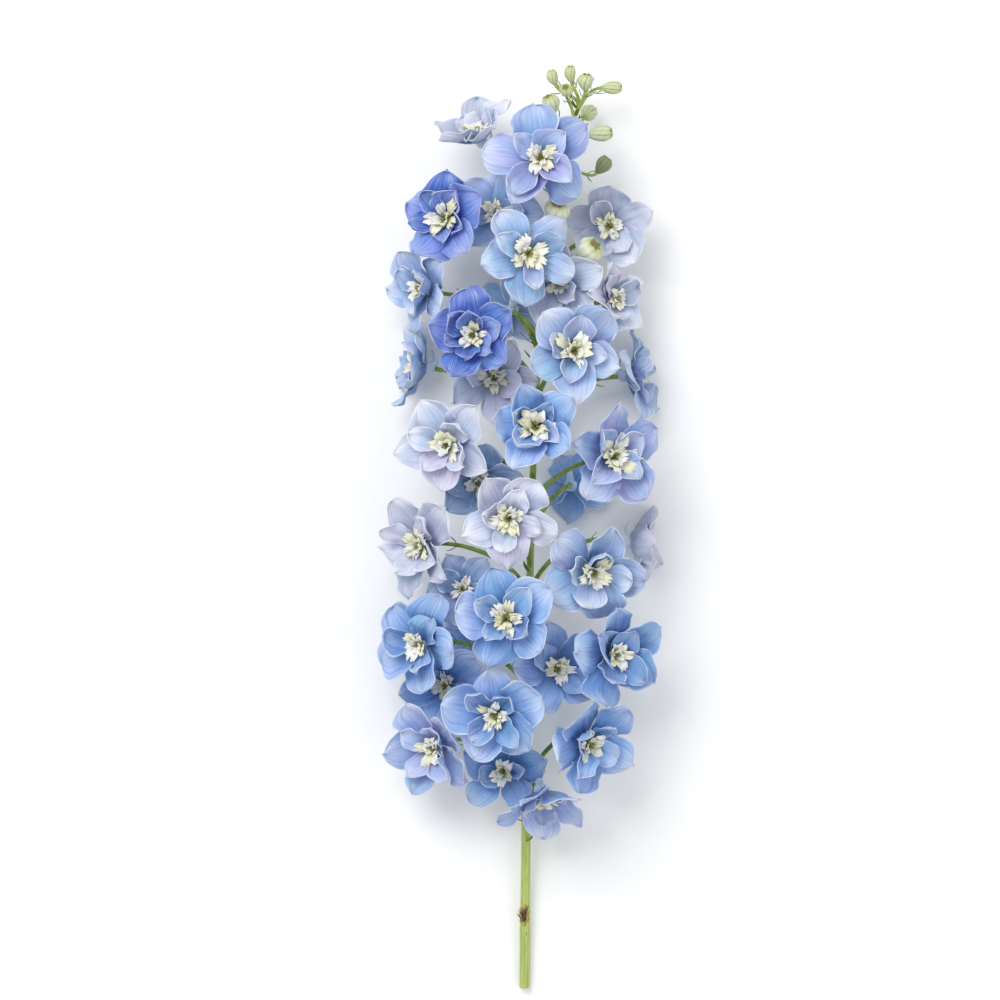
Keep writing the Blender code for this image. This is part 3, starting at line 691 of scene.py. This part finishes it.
# The shape that a whorl's blades share, and the ranges that each one's own shape is drawn from, in turn:
# claw, tip, width, length, cup, curl, roll and notch
Habit = namedtuple("Habit", "foot cup lap ruffle ranges")
SEPAL_RANGES = (
    ((0.9, 1.3), (0.52, 0.95), (0.84, 1.1), (0.97, 1.08))
    + ((-0.18, 0.32), (-0.18, 0.16), (-0.26, 0.42), (-0.05, 0.02))
)
PETAL_RANGES = (
    ((0.85, 1.25), (0.45, 0.85), (0.8, 1.12), (0.94, 1.12))
    + ((0.0, 0.55), (-0.14, 0.28), (-0.3, 0.5), (-0.04, 0.08))
)
SEPAL_HABIT = Habit(foot=-0.6, cup=-0.08, lap=0.17, ruffle=1.15, ranges=SEPAL_RANGES)
PETAL_HABIT = Habit(foot=0.9, cup=0.1, lap=0.14, ruffle=1.1, ranges=PETAL_RANGES)


def blade_plans(floret):
    """The sepals, each lapping over the next, and the inner petals, smaller and steeper."""
    vary = random.Random(int(floret.name) * 7 + 3).uniform
    reach = floret.span / 2
    start, end = floret.rise
    sepals, petals = [], []
    for i in range(SEPAL_COUNT):
        angle = 90 + floret.spin + 360 / SEPAL_COUNT * i + vary(-4, 4)
        rise = (start + vary(-3, 3), end + vary(-7, 7))
        slope = math.cos(math.radians(sum(rise) / 2))
        length = (reach - BLADE_ROOT) / slope * vary(0.95, 1.05)
        sepals.append(Blade(angle, length, reach * floret.breadth * vary(0.93, 1.07), rise))
    for i in range(floret.inner):
        angle = 126 + floret.spin + 360 / floret.inner * i + vary(-8, 8)
        rise = (min(start + 8, 40) + vary(-2, 2), min(end + vary(8, 24), 50))
        petals.append(Blade(angle, reach * vary(0.66, 0.82), reach * vary(0.25, 0.33), rise))
    return sepals, petals


def blade_points(blade, habit, placement, grid, sizes, vary):
    """The points of a fine blade: the frame's blade with its own folds, ruffles and rolled margins."""
    claw, tip, wide, long, cup, curl, roll, notch = (vary(*pair) for pair in habit.ranges)
    ruffle, pleat = sizes.ruffle / MM * habit.ruffle, sizes.pleat / MM
    across = grid[0] * 2
    t = 1 - (1 - np.clip(grid[1] + 0.5, 0, 1)) ** 1.6
    length = blade.length * long
    first, last = (math.radians(a) for a in blade.rise)
    bend = last - first
    slope = first + bend * t
    reach = 1 - notch * gauss(across, 0.28) * smoothstep(0.6, 1.0, t)
    out = BLADE_ROOT + length * reach * (np.sin(slope) - math.sin(first)) / bend
    high = habit.foot - length * (np.cos(slope) - math.cos(first)) / bend
    peak = claw / (claw + tip)
    outline = t**claw * (1 - t) ** tip / (peak**claw * (1 - peak) ** tip)
    uneven = 1 + 0.05 * np.sin(TAU * (vary(1.5, 2.6) * t + vary(0, 1)) + across * 1.5)
    width = blade.half_width * wide * outline * uneven
    twist = habit.lap + vary(-0.12, 0.12) * t
    lift = width * ((habit.cup + cup) * across**2 + twist * across)
    for side in (-1, 1):
        margin = smoothstep(0.45, 1.0, across * side) * smoothstep(0.15, 0.5, t)
        lift += width * margin * (roll + vary(-0.15, 0.15))
    wave = TAU * vary(1.6, 3.0) * t + np.where(across > 0, phase(vary), phase(vary))
    lift += ruffle * (across**2 * smoothstep(0.25, 0.6, t)) * np.sin(wave)
    lift += ruffle * 0.8 * (smoothstep(0.66, 1.0, t) * np.sin(across * vary(2.5, 5.0) + phase(vary)))
    swell = np.sin(across * vary(1.0, 2.4) + t * vary(3.0, 6.0) + phase(vary))
    lift += ruffle * 0.7 * swell * np.sin(math.pi * t)
    groove = pleat * 5.0 * gauss(across, 0.12) * np.sin(math.pi * np.clip(t * 1.08, 0, 1))
    pleats = np.sin(across * 15 + phase(vary)) + 0.6 * np.sin(across * 24 + phase(vary))
    lift = lift - groove + pleat * pleats * np.sin(math.pi * t)
    lift += curl * length * smoothstep(0.5, 1.0, t) ** 2
    aside = width * across + vary(-0.09, 0.09) * length * t**2
    out, high = out - lift * np.sin(slope), high + lift * np.cos(slope)
    return placement.flap(math.radians(blade.angle), out, aside, high)


# Operators


def whorl(name, floret, master, plan, habit, sizes, vary):
    """All the sepals or all the inner petals of a floret, still thin."""
    grid, placement = coordinates(master), placement_of(floret)
    lowest = sizes.petal_thickness / MM * 0.6
    blades = []
    for blade in plan:
        obj = copy_of(master, name)
        place(obj, blade_points(blade, habit, placement, grid, sizes, vary), lowest)
        tint = vary(0, 1)
        if floret.name in PALEST:
            tint = 0.7 + 0.3 * tint
        mark(obj, tint=tint, hue=vary(0, 1))
        blades.append(obj)
    return joined(name, blades)


class SPIKE_OT_petals(bpy.types.Operator):
    """Builds the sepals and the inner petals of every floret"""

    bl_idname = "spike.petals"
    bl_label = "Sepals and petals"

    def execute(self, context):
        sizes, colours = context.scene.spike_sizes, palette(context)
        skins = {kind: petal_material(kind, colours[kind]) for kind in PETAL_CASTS}
        broad = master_sheet("sepal_master", 18, 24)
        small = master_sheet("petal_master", 14, 20)
        for floret in FLORETS:
            vary = random.Random(int(floret.name) * 31 + 17).uniform
            sepals, petals = blade_plans(floret)
            for kind, master, plan, habit in (
                ("sepals_", broad, sepals, SEPAL_HABIT),
                ("petals_", small, petals, PETAL_HABIT),
            ):
                piece = whorl(kind + floret.name, floret, master, plan, habit, sizes, vary)
                thickened(piece, sizes.petal_thickness)
                finish_piece(piece, "floret_" + floret.name, skins[floret.colour])
        drop_masters(broad, small)
        return {"FINISHED"}


def spur_points(x, y, z):
    """A horn that tapers and bends back down."""
    t = z + 0.5
    taper = 0.25 + 0.75 * t
    angle = math.radians(SPUR_LEAN_DEG) + SPUR_BEND * t * t
    run = SPUR_LENGTH * t - 1.0
    wrinkle = 1 + 0.05 * np.sin(np.arctan2(y, x) * 4 + t * 6)
    radius = SPUR_RADIUS * np.sin(math.pi * np.clip(taper, 0, 0.985)) ** 0.8 * wrinkle
    along = run * np.sin(angle) * 0.9 + y * radius * np.cos(angle)
    drop = CORE_CENTRE_Z - run * np.cos(angle) + y * radius * np.sin(angle)
    return x * radius, along, drop


class SPIKE_OT_hearts(bpy.types.Operator):
    """Builds the receptacle and the spur behind every floret"""

    bl_idname = "spike.hearts"
    bl_label = "Receptacles and spurs"

    def execute(self, context):
        colours = palette(context)
        skins = {}
        for kind in PETAL_CASTS:
            pale = blend(colours[kind], (0.7, 0.76, 0.66), 0.45)
            skins[kind] = plant_material("spur_" + kind, pale, shade(pale, 0.8), 160.0, 0.55)
        ball = master_ball("receptacle_master", 24, 14)
        rod = master_rod("spur_master", 14, 18)
        x, y, z = coordinates(ball)
        radius = CORE_RADIUS * (1 + 0.05 * np.sin(5 * np.arctan2(y, x))) * 0.94
        core = (radius * x, radius * y, CORE_CENTRE_Z + CORE_HALF_HEIGHT * z)
        spur = spur_points(*coordinates(rod))
        for floret in FLORETS:
            parts = []
            for master, points in ((ball, core), (rod, spur)):
                obj = copy_of(master, "heart")
                place(obj, placement_of(floret).point(*points))
                parts.append(obj)
            piece = joined("spur_" + floret.name, parts)
            finish_piece(piece, "floret_" + floret.name, skins[floret.colour])
        drop_masters(ball, rod)
        return {"FINISHED"}


def tongues(floret, sizes, sheet):
    """The tongues of one bee: loose outer flaps and a tighter, more upright inner ring."""
    draw = random.Random(int(floret.name) * 11 + 5)
    vary = draw.uniform
    scale = min(1.15, floret.span / BEE_SPAN) * BEE_GROWTH.get(floret.name, 1.05)
    full = sizes.tongue_length / MM * scale
    frill = vary(0.4, 1.5)
    turned = vary(0, 360)
    tongues = []
    # Each ring's count, first angle, spread, root and claw, then ranges of slopes, half width and length
    for count, first, loose, root, claw, slopes, widths, lengths in (
        (draw.choice((5, 5, 6)), 0, 14, 0.5, 0.7, ((26, 48), (40, 74), (-50, 30)), (1.5, 2.9), (0.82, 1.18)),
        (4, 40, 22, 0.3, 0.5, ((50, 64), (62, 84), (-10, 60)), (1.1, 1.9), (0.66, 0.92)),
    ):
        for i in range(count):
            angle = math.radians(turned + first + 360 / count * i + vary(-loose, loose))
            bends = [math.radians(vary(*pair)) for pair in slopes]
            half_width = vary(*widths) * scale
            obj = copy_of(sheet, "tongue")
            shape = (root, full * vary(*lengths), claw * scale, half_width, bends, frill)
            out, aside, high = tongue_points(*coordinates(obj)[:2], *shape, vary)
            place(obj, placement_of(floret).flap(angle, out, aside, high), 0.4)
            mark(obj, tint=vary(0, 1))
            tongues.append(obj)
    return tongues


def tongue_points(x, y, root, length, claw, half_width, bends, frill, vary):
    """One tongue: narrow at its claw, notched and toothed at its end."""
    across, t = x * 2, y + 0.5
    start, middle, end = bends
    steps = np.linspace(0, 1, 41)
    slope = start + (middle - start) * smoothstep(0, 0.55, steps)
    slope += (end - middle) * smoothstep(0.55, 1.0, steps)
    notch = 1 - 0.3 * across**4 - vary(0.06, 0.28) * gauss(across, 0.16)
    notch += 0.09 * frill * np.sin(across * vary(7, 12) + phase(vary))
    s = t * (1 + (notch - 1) * t**2)
    local = np.interp(s, steps, slope)
    width = claw + (half_width - claw) * smoothstep(0.1, 0.75, t)
    width = width * (1 + 0.1 * frill * np.sin(t * 17 + phase(vary)) * t)
    lift = vary(-0.1, 0.5) * width * across**2
    lift += 0.7 * t**2 * np.sin(across * vary(3, 6) + phase(vary))
    lift += 0.4 * frill * t**3 * np.sin(across * 11 + phase(vary))

    def reached(part):
        """How far the tongue's curve has gone one way."""
        gone = np.concatenate(([0], np.cumsum((part[1:] + part[:-1]) / 2))) / (len(steps) - 1)
        return length * np.interp(s, steps, gone)

    out = root + reached(np.cos(slope)) - lift * np.sin(local)
    high = BEE_FOOT_Z + reached(np.sin(slope)) + lift * np.cos(local)
    return out, width * across + vary(-0.8, 0.8) * t**2, high


def stamens(floret, hair, ball):
    """A tuft of short stamens in the throat of the bee."""
    vary = random.Random(int(floret.name) * 13 + 1).uniform
    placement = placement_of(floret)
    hair_grid, ball_grid = coordinates(hair), coordinates(ball)
    t = hair_grid[2] + 0.5
    parts = []
    for _ in range(STAMEN_COUNT):
        turn = vary(0, TAU)
        foot = vary(0.1, 0.9)
        head = foot + vary(0.2, 1.8)
        tall = vary(3.0, 5.2)
        for master, (x, y, _z), thick, out, high in (
            (hair, hair_grid, 0.13, foot + (head - foot) * t**1.5, BEE_FOOT_Z + tall * t),
            (ball, ball_grid, 0.42, head, BEE_FOOT_Z + tall + ball_grid[2] * 0.62),
        ):
            obj = copy_of(master, "stamen")
            x, y = math.cos(turn) * out + x * thick, math.sin(turn) * out + y * thick
            place(obj, placement.point(x, y, high), 0.3)
            parts.append(obj)
    return parts


class SPIKE_OT_bees(bpy.types.Operator):
    """Builds the frilled cream bee and the stamens of every floret"""

    bl_idname = "spike.bees"
    bl_label = "Bees and stamens"

    def execute(self, context):
        sizes, colours = context.scene.spike_sizes, palette(context)
        cream = bee_material(colours)
        anther = plant_material("anther", colours["anther"], shade(colours["bee_base"], 0.7), 900.0, 0.6)
        sheet = master_sheet("tongue_master", 12, 12)
        hair = master_rod("filament_master", 6, 4)
        ball = master_ball("anther_master", 8, 6)
        for floret in FLORETS:
            node = ("bee_" if floret.name in OWN_BEES else "floret_") + floret.name
            tuft = joined("bee_tuft_" + floret.name, tongues(floret, sizes, sheet))
            thickened(tuft, sizes.tongue_thickness)
            finish_piece(tuft, node, cream)
            finish_piece(joined("stamens_" + floret.name, stamens(floret, hair, ball)), node, anther)
        drop_masters(sheet, hair, ball)
        return {"FINISHED"}


def rod_points(grid, centres, radii, ribs=1.0):
    """Sweeps a rod along centres, with the radius at each and the height of its ribs."""
    x, y, z = grid
    t = np.clip(z + 0.5, 0, 1)
    steps = np.linspace(0, 1, len(centres))
    way = np.gradient(centres, axis=0)
    way = way / np.linalg.norm(way, axis=1, keepdims=True)
    middle, way = (np.stack([np.interp(t, steps, part) for part in line.T], 1) for line in (centres, way))
    way = way / np.linalg.norm(way, axis=1, keepdims=True)
    first = np.cross(way, (0.0, 0.0, 1.0))
    upright = np.linalg.norm(first, axis=1) < 0.2
    first[upright] = np.cross(way[upright], (1.0, 0.0, 0.0))
    first = first / np.linalg.norm(first, axis=1, keepdims=True)
    second = np.cross(first, way)
    radius = np.interp(t, steps, radii) * ribs
    return middle + (first * x[:, None] + second * y[:, None]) * radius[:, None]


# A pedicel: its name, the node that it is part of, its line, radius and bract
Stalk = namedtuple("Stalk", "name node foot_y line radius bract")


def stalk_line(foot_y, flower, gap, count):
    """The curve of a pedicel from the stem to a gap behind the middle of a flower or bud."""
    placement = placement_of(flower)
    end = placement.at - placement.normal * gap
    start, along, *_ = stem_axes(foot_y)
    reach = np.linalg.norm(end - start)
    leave = start + (along * 0.75 + unit(end - start) * 0.45) * reach * 0.4
    arrive = end - placement.normal * reach * 0.35
    t = np.linspace(0, 1, count)[:, None]
    s = 1 - t
    return start * s**3 + leave * (3 * s * s * t) + arrive * (3 * s * t * t) + end * t**3


def all_stalks():
    """The pedicels of the florets and of the buds."""
    stalks = []
    for floret in FLORETS:
        foot_y = min(CLUSTER_FOOT_Y - 6, floret.at[1] - PEDICEL_RUN)
        line = stalk_line(foot_y, floret, CORE_HALF_HEIGHT - CORE_CENTRE_Z + SEAT_GAP, 24)
        stalks.append(Stalk(floret.name, "stem", foot_y, line, PEDICEL_RADIUS, 12.0))
    for bud in BUDS:
        node, gap, lowest, bract = "stem", SEAT_GAP, STEM_FOOT_Y, 8.0
        if bud.node == "bud_cluster":
            node, gap, lowest, bract = bud.node, -1.0, CLUSTER_FOOT_Y + 3, 6.0
        foot_y = min(STEM_TIP_Y - 1.5, max(lowest, bud.at[1] - BUD_STALK_RUN))
        line = stalk_line(foot_y, bud, bud.length / 2 + gap, 18)
        stalks.append(Stalk(bud.name, node, foot_y, line, BUD_STALK_RADIUS, bract))
    return stalks


def cut_end():
    """The pale pith that shows where the stem was cut."""
    add = bpy.ops.mesh.primitive_cylinder_add
    disc = primitive("stem_pith", add, vertices=32, radius=1.0, depth=1.0, end_fill_type="NGON")
    edit_picked(disc, "FACE", disc.data.polygons, lambda face: face.normal.z < -0.9)
    bpy.ops.mesh.inset(thickness=0.3, depth=-0.12)
    bpy.ops.mesh.inset(thickness=0.34, depth=-0.25)
    bpy.ops.object.mode_set(mode="OBJECT")
    x, y, z = coordinates(disc)
    foot, way, first, second = stem_axes(STEM_FOOT_Y)
    radius = STEM_END_RADIUS * 0.84
    place(disc, spread(foot, (z * 0.9 + 0.3, way), (x * radius, first), (y * radius, second)))
    pith = plant_material("pith", (0.62, 0.66, 0.38), (0.42, 0.48, 0.2), 700.0, 0.6)
    finish_piece(disc, "stem", pith, 30)


def scar(brown):
    """The torn brown scar where a leaf grew: a rim, a pit in it, shreds and a split below."""
    skin = plant_material("leaf_scar", shade(brown, 1.9), shade(brown, 0.6), 900.0, 0.75, 0.6)
    pit = plant_material("scar_pit", shade(brown, 0.8), shade(brown, 0.3), 1100.0, 0.8, 0.8)
    rim = plant_material("scar_rim", (0.52, 0.46, 0.15), shade(brown, 2.2), 800.0, 0.7, 0.5)
    sheet = master_sheet("scar_master", 6, 8)
    ball = master_ball("scar_pit_master", 28, 18)
    vary = random.Random(5).uniform
    foot, way, first, second = stem_axes(SCAR_Y)
    radius = stem_radius(SCAR_Y)

    def axes_at(turn_deg):
        """The way out of the stem at an angle round it, and the way across that."""
        turn = math.radians(turn_deg)
        outward = first * math.cos(turn) + second * math.sin(turn)
        return outward, np.cross(way, outward)

    x, y, z = coordinates(ball)
    edge = np.arctan2(y, x)
    # Each part's material, how far below the scar and round from it, its size, and how deep it is sunk
    for part, made, below, turned, wide, tall, thick, sunk in (
        ("rim", rim, 0.0, 0.0, 2.3, 5.6, 0.75, 0.62),
        ("pit", pit, 0.0, 0.0, 1.8, 4.8, 0.95, 0.62),
        ("split", pit, 9.8, -30.0, 0.42, 2.1, 0.5, 0.18),
    ):
        outward, aside = axes_at(SCAR_TURN_DEG + turned)
        knob = copy_of(ball, "scar_" + part)
        torn = 1 + 0.1 * np.sin(edge * 5 + vary(0, 6)) + 0.07 * np.sin(edge * 11)
        rise = z * thick - 0.25 * (x * wide) ** 2 / radius
        start = foot - way * below + outward * (radius - sunk)
        place(knob, spread(start, (y * tall * torn, way), (x * wide * torn, aside), (rise, outward)))
        finish_piece(knob, "stem", made)
    x, y, _ = coordinates(sheet)
    t = y + 0.5
    for part, made in (("torn", skin), ("fray", rim)):
        shreds = []
        for _ in range(SHRED_COUNT):
            obj = copy_of(sheet, "shred")
            around = vary(0, TAU)
            outward, aside = axes_at(SCAR_TURN_DEG + 42 * math.cos(around) + vary(-8, 8))
            tall = vary(1.4, 3.6)
            lean = vary(0.0, 0.55)
            half = vary(0.22, 0.6) * (1 - 0.85 * t) * x * 2
            slant = vary(-0.25, 0.25) - 0.45 * math.cos(around)
            start = foot + way * (4.4 * math.sin(around) - 1.4) + outward * (radius + 0.1)
            off = lean * tall * t**1.6 + 0.1 * np.sin(t * 9)
            place(obj, spread(start, (tall * t, way), (off, outward), (half + slant * tall * t * t, aside)))
            shreds.append(obj)
        piece = joined("scar_" + part, shreds)
        thickened(piece, SHRED_THICKNESS)
        finish_piece(piece, "stem", made)
    drop_masters(sheet, ball)


class SPIKE_OT_stem(bpy.types.Operator):
    """Builds the ridged stem, its cut end and the scar of its lowest leaf"""

    bl_idname = "spike.stem"
    bl_label = "Stem"

    def execute(self, context):
        colours = palette(context)
        skin = stem_material(colours["stem_green"])
        depth = context.scene.spike_sizes.ridge_depth / MM / STEM_END_RADIUS
        for name, node, first, last, rings in (
            ("stem_skin", "stem", STEM_FOOT_Y, CLUSTER_FOOT_Y - SEAT_GAP, 220),
            ("stem_tip_skin", "bud_cluster", CLUSTER_FOOT_Y, STEM_TIP_Y, 40),
        ):
            rod = master_rod(name, 36, rings)
            heights = np.linspace(first, last, rings + 1)
            centres = np.array([stem_point(y) for y in heights])
            x, y, z = coordinates(rod)
            t = z + 0.5
            ridge = np.cos((np.arctan2(y, x) + 0.25 * np.sin(t * 9.0)) * 9)
            swell = 0.05 * gauss((t * 7.0) % 1.0 - 0.5, 0.08)
            ribs = 1 + (depth * (ridge - 1) * 0.5 + swell)
            place(rod, rod_points((x, y, z), centres, stem_radius(heights), ribs))
            mark(rod, ridge=0.5 + 0.5 * ridge)
            finish_piece(rod, node, skin)
        cut_end()
        scar(colours["scar_brown"])
        return {"FINISHED"}


def leaves(stalk, sheet):
    """The bract at the pedicel's foot and the two bracteoles near its flower."""
    vary = random.Random(stalk.name).uniform
    start = stem_point(stalk.foot_y - 1.5)
    along = unit(stem_point(stalk.foot_y + 2) - start)
    toward = stalk.line[-1] - start
    out = unit(toward - along * np.dot(toward, along))
    specs = [(start, out * 0.85, along * 0.5, stalk.bract, 0.9)]
    k = int(len(stalk.line) * 0.72)
    way = unit(stalk.line[k] - stalk.line[k - 1])
    side = unit(np.cross(way, (0.3, 0.2, 1.0)))
    for sign in (-1, 1):
        lean = side * sign * 0.75 + unit(np.cross(way, side)) * vary(-0.3, 0.3)
        specs.append((stalk.line[k] + side * sign * 0.4, lean, way * 0.9, vary(3.5, 6.5), 0.34))
    x, y, _ = coordinates(sheet)
    across, t = x * 2, y + 0.5
    leaves = []
    for origin, outward, forward, length, width in specs:
        obj = copy_of(sheet, "bract")
        aside = unit(np.cross(forward, outward))
        upward = unit(np.cross(outward, aside))
        half = width * np.sin(math.pi * np.clip(t, 0.0, 1.0)) ** 0.8 + 0.05 * (1 - t)
        lengthways = ((length * t, outward), (length * t * t, forward))
        sideways = ((half * across, aside), (0.25 * half * across**2, upward))
        place(obj, spread(origin, *lengthways, *sideways), 0.3)
        leaves.append(obj)
    return leaves


class SPIKE_OT_stalks(bpy.types.Operator):
    """Builds the pedicels with their bracts and bracteoles"""

    bl_idname = "spike.stalks"
    bl_label = "Pedicels and bracts"

    def execute(self, context):
        colours = palette(context)
        # The pedicels' and bracts' green carries painted shade, darker for the shade among the florets
        green = colours["stalk_green"]
        light = blend(green, colours["stem_green"], 0.55)
        skin = plant_material("stalk_skin", light, green, 260.0, 0.48, 0.25)
        young = plant_material("bud_stalk_skin", colours["stem_green"], light, 260.0, 0.48, 0.25)
        leaf = plant_material("bract_skin", green, blend(green, colours["scar_brown"], 0.5), 300.0, 0.55)
        rod = master_rod("stalk_master", 14, 24)
        sheet = master_sheet("bract_master", 6, 14)
        grid = coordinates(rod)
        grooves = 1 + 0.05 * np.cos(np.arctan2(grid[1], grid[0]) * 5 + (grid[2] + 0.5) * 3)
        for stalk in all_stalks():
            obj = copy_of(rod, "stalk_" + stalk.name)
            t = np.linspace(0, 1, len(stalk.line))
            swell = 1.25 - 0.25 * t + 0.35 * gauss(t - 1.0, 0.07) + 0.45 * gauss(t, 0.05)
            place(obj, rod_points(grid, stalk.line, stalk.radius * swell, grooves))
            finish_piece(obj, stalk.node, young if stalk.radius < PEDICEL_RADIUS else skin)
            piece = joined("bracts_" + stalk.name, leaves(stalk, sheet))
            thickened(piece, BRACT_THICKNESS)
            finish_piece(piece, stalk.node, leaf)
        drop_masters(rod, sheet)
        return {"FINISHED"}


class SPIKE_OT_buds(bpy.types.Operator):
    """Builds the ribbed buds with their small spurs"""

    bl_idname = "spike.buds"
    bl_label = "Buds"

    def execute(self, context):
        skin = bud_material(palette(context))
        ball = master_ball("bud_master", 50, 36)
        rod = master_rod("bud_spur_master", 10, 12)
        x, y, z = coordinates(ball)
        t = np.arccos(np.clip(z, -1, 1)) / math.pi
        turn = np.arctan2(y, x)
        crown = smoothstep(0.2, 0.04, t)
        steps = np.linspace(0, 1, 13)
        for bud in BUDS:
            vary = random.Random(bud.name).uniform
            placement = placement_of(bud)
            # Only the bud that lies in shadow gets painted shade
            olive = 1.0 if bud.name == SHADED_BUD else 0.0
            twist = turn + 0.5 * (t - 0.5) + phase(vary)
            suture = gauss(np.sin(twist * 2.5), 0.2)
            rib = gauss(np.cos(twist * 2.5), 0.24)
            veins = gauss(np.sin(twist * 7.5), 0.22)
            radius = bud.width / 2 * 1.04 * np.sin(math.pi * t**0.76) ** 0.72
            radius = radius * (1 + 0.05 * rib - 0.1 * suture * np.sin(math.pi * t))
            radius = radius * (1 + 0.14 * crown * np.cos(twist * 5))
            high = bud.length * (0.5 - t - 0.07 * gauss(t, 0.07) + 0.03 * crown * np.cos(twist * 5 + 0.8))
            bow = 0.06 * bud.length * np.sin(math.pi * t)
            body = copy_of(ball, "bud")
            place(body, placement.point(radius * np.cos(turn) + bow, radius * np.sin(turn), high))
            ribbed = np.clip(0.9 * suture + 0.6 * rib + 0.35 * veins, 0, 1) * smoothstep(0.04, 0.2, t)
            mark(body, rib=ribbed, along=t, pale=smoothstep(6.0, 12.0, bud.width), olive=olive)
            spur = copy_of(rod, "bud_spur")
            reach = bud.length * 0.42
            turned = vary(0, TAU)
            x, y = (part(turned) * reach * 0.55 * np.sin(steps * 1.5) for part in (math.cos, math.sin))
            line = placement.point(x, y, -bud.length * 0.3 - reach * steps)
            place(spur, rod_points(coordinates(spur), line, bud.width * 0.13 * (1 - 0.75 * steps)))
            mark(spur, rib=0.35, along=0.85, pale=0.3, olive=olive)
            finish_piece(joined("bud_" + bud.name, [body, spur]), bud.node, skin)
        drop_masters(ball, rod)
        return {"FINISHED"}


def lamp(name, at, size, power):
    """A square soft light that points at the middle of the spike."""
    x, y, z = -unit(at)
    turn = (math.atan2(math.hypot(x, y), -z), 0.0, math.atan2(-x, y))
    lamp = primitive(name, bpy.ops.object.light_add, type="AREA", location=at, rotation=turn)
    lamp.data.size = size
    lamp.data.energy = power


class SPIKE_OT_stage(bpy.types.Operator):
    """Lays the pale surface and sets the light and the camera"""

    bl_idname = "spike.stage"
    bl_label = "Stage"

    def execute(self, context):
        stage = context.scene.spike_stage
        floor = primitive("pale_surface", bpy.ops.mesh.primitive_plane_add, size=8.0, location=(0, 0, 0))
        floor.data.materials.append(floor_material(tuple(stage.floor_colour)))
        lamp("key_light", (-0.55, 0.75, 1.25), 0.9, stage.key_power)
        lamp("fill_light", (0.9, -0.5, 1.1), 1.2, stage.fill_power)
        world = bpy.data.worlds.new("studio_sky")
        context.scene.world = world
        world.use_nodes = True
        sky = world.node_tree.nodes["Background"]
        sky.inputs["Color"].default_value = (0.97, 0.985, 1.0, 1.0)
        sky.inputs["Strength"].default_value = stage.sky_strength
        at = (*VIEW_CENTRE, FLORET_LEVEL + stage.camera_height)
        camera = primitive("view", bpy.ops.object.camera_add, location=at, rotation=(0.0, 0.0, 0.0))
        camera.data.sensor_width = SENSOR_WIDTH
        camera.data.lens = SENSOR_WIDTH * stage.camera_height / stage.frame_width
        camera.data.clip_start = 0.05
        context.scene.camera = camera
        context.scene.view_settings.view_transform = "Standard"
        return {"FINISHED"}


class SPIKE_PT_panel(bpy.types.Panel):
    """The steps that build the spike"""

    bl_label = "Delphinium Spike"
    bl_idname = "SPIKE_PT_panel"
    bl_space_type = "VIEW_3D"
    bl_region_type = "UI"
    bl_category = "Delphinium"

    def draw(self, context):
        for step in STEPS:
            self.layout.operator(step.bl_idname)
        for group in (context.scene.spike_sizes, context.scene.spike_colours, context.scene.spike_stage):
            for key in group.bl_rna.properties.keys():
                if key not in ("rna_type", "name"):
                    self.layout.prop(group, key)


STEPS = (
    SPIKE_OT_stem,
    SPIKE_OT_stalks,
    SPIKE_OT_buds,
    SPIKE_OT_petals,
    SPIKE_OT_hearts,
    SPIKE_OT_bees,
    SPIKE_OT_stage,
)
GROUPS = (SpikeSizes, SpikeColours, StageSettings)


def register():
    """Adds the classes and the settings to Blender."""
    for cls in (*GROUPS, *STEPS, SPIKE_PT_panel):
        bpy.utils.register_class(cls)
    bpy.types.Scene.spike_sizes = bpy.props.PointerProperty(type=SpikeSizes)
    bpy.types.Scene.spike_colours = bpy.props.PointerProperty(type=SpikeColours)
    bpy.types.Scene.spike_stage = bpy.props.PointerProperty(type=StageSettings)


def unregister():
    """Takes the settings and the classes out again."""
    del bpy.types.Scene.spike_stage
    del bpy.types.Scene.spike_colours
    del bpy.types.Scene.spike_sizes
    for cls in (SPIKE_PT_panel, *reversed(STEPS), *reversed(GROUPS)):
        bpy.utils.unregister_class(cls)


def main():
    """Builds every piece in order."""
    register()
    bpy.ops.spike.stem()
    bpy.ops.spike.stalks()
    bpy.ops.spike.buds()
    bpy.ops.spike.petals()
    bpy.ops.spike.hearts()
    bpy.ops.spike.bees()
    bpy.ops.spike.stage()
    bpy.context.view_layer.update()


if __name__ == "__main__":
    main()
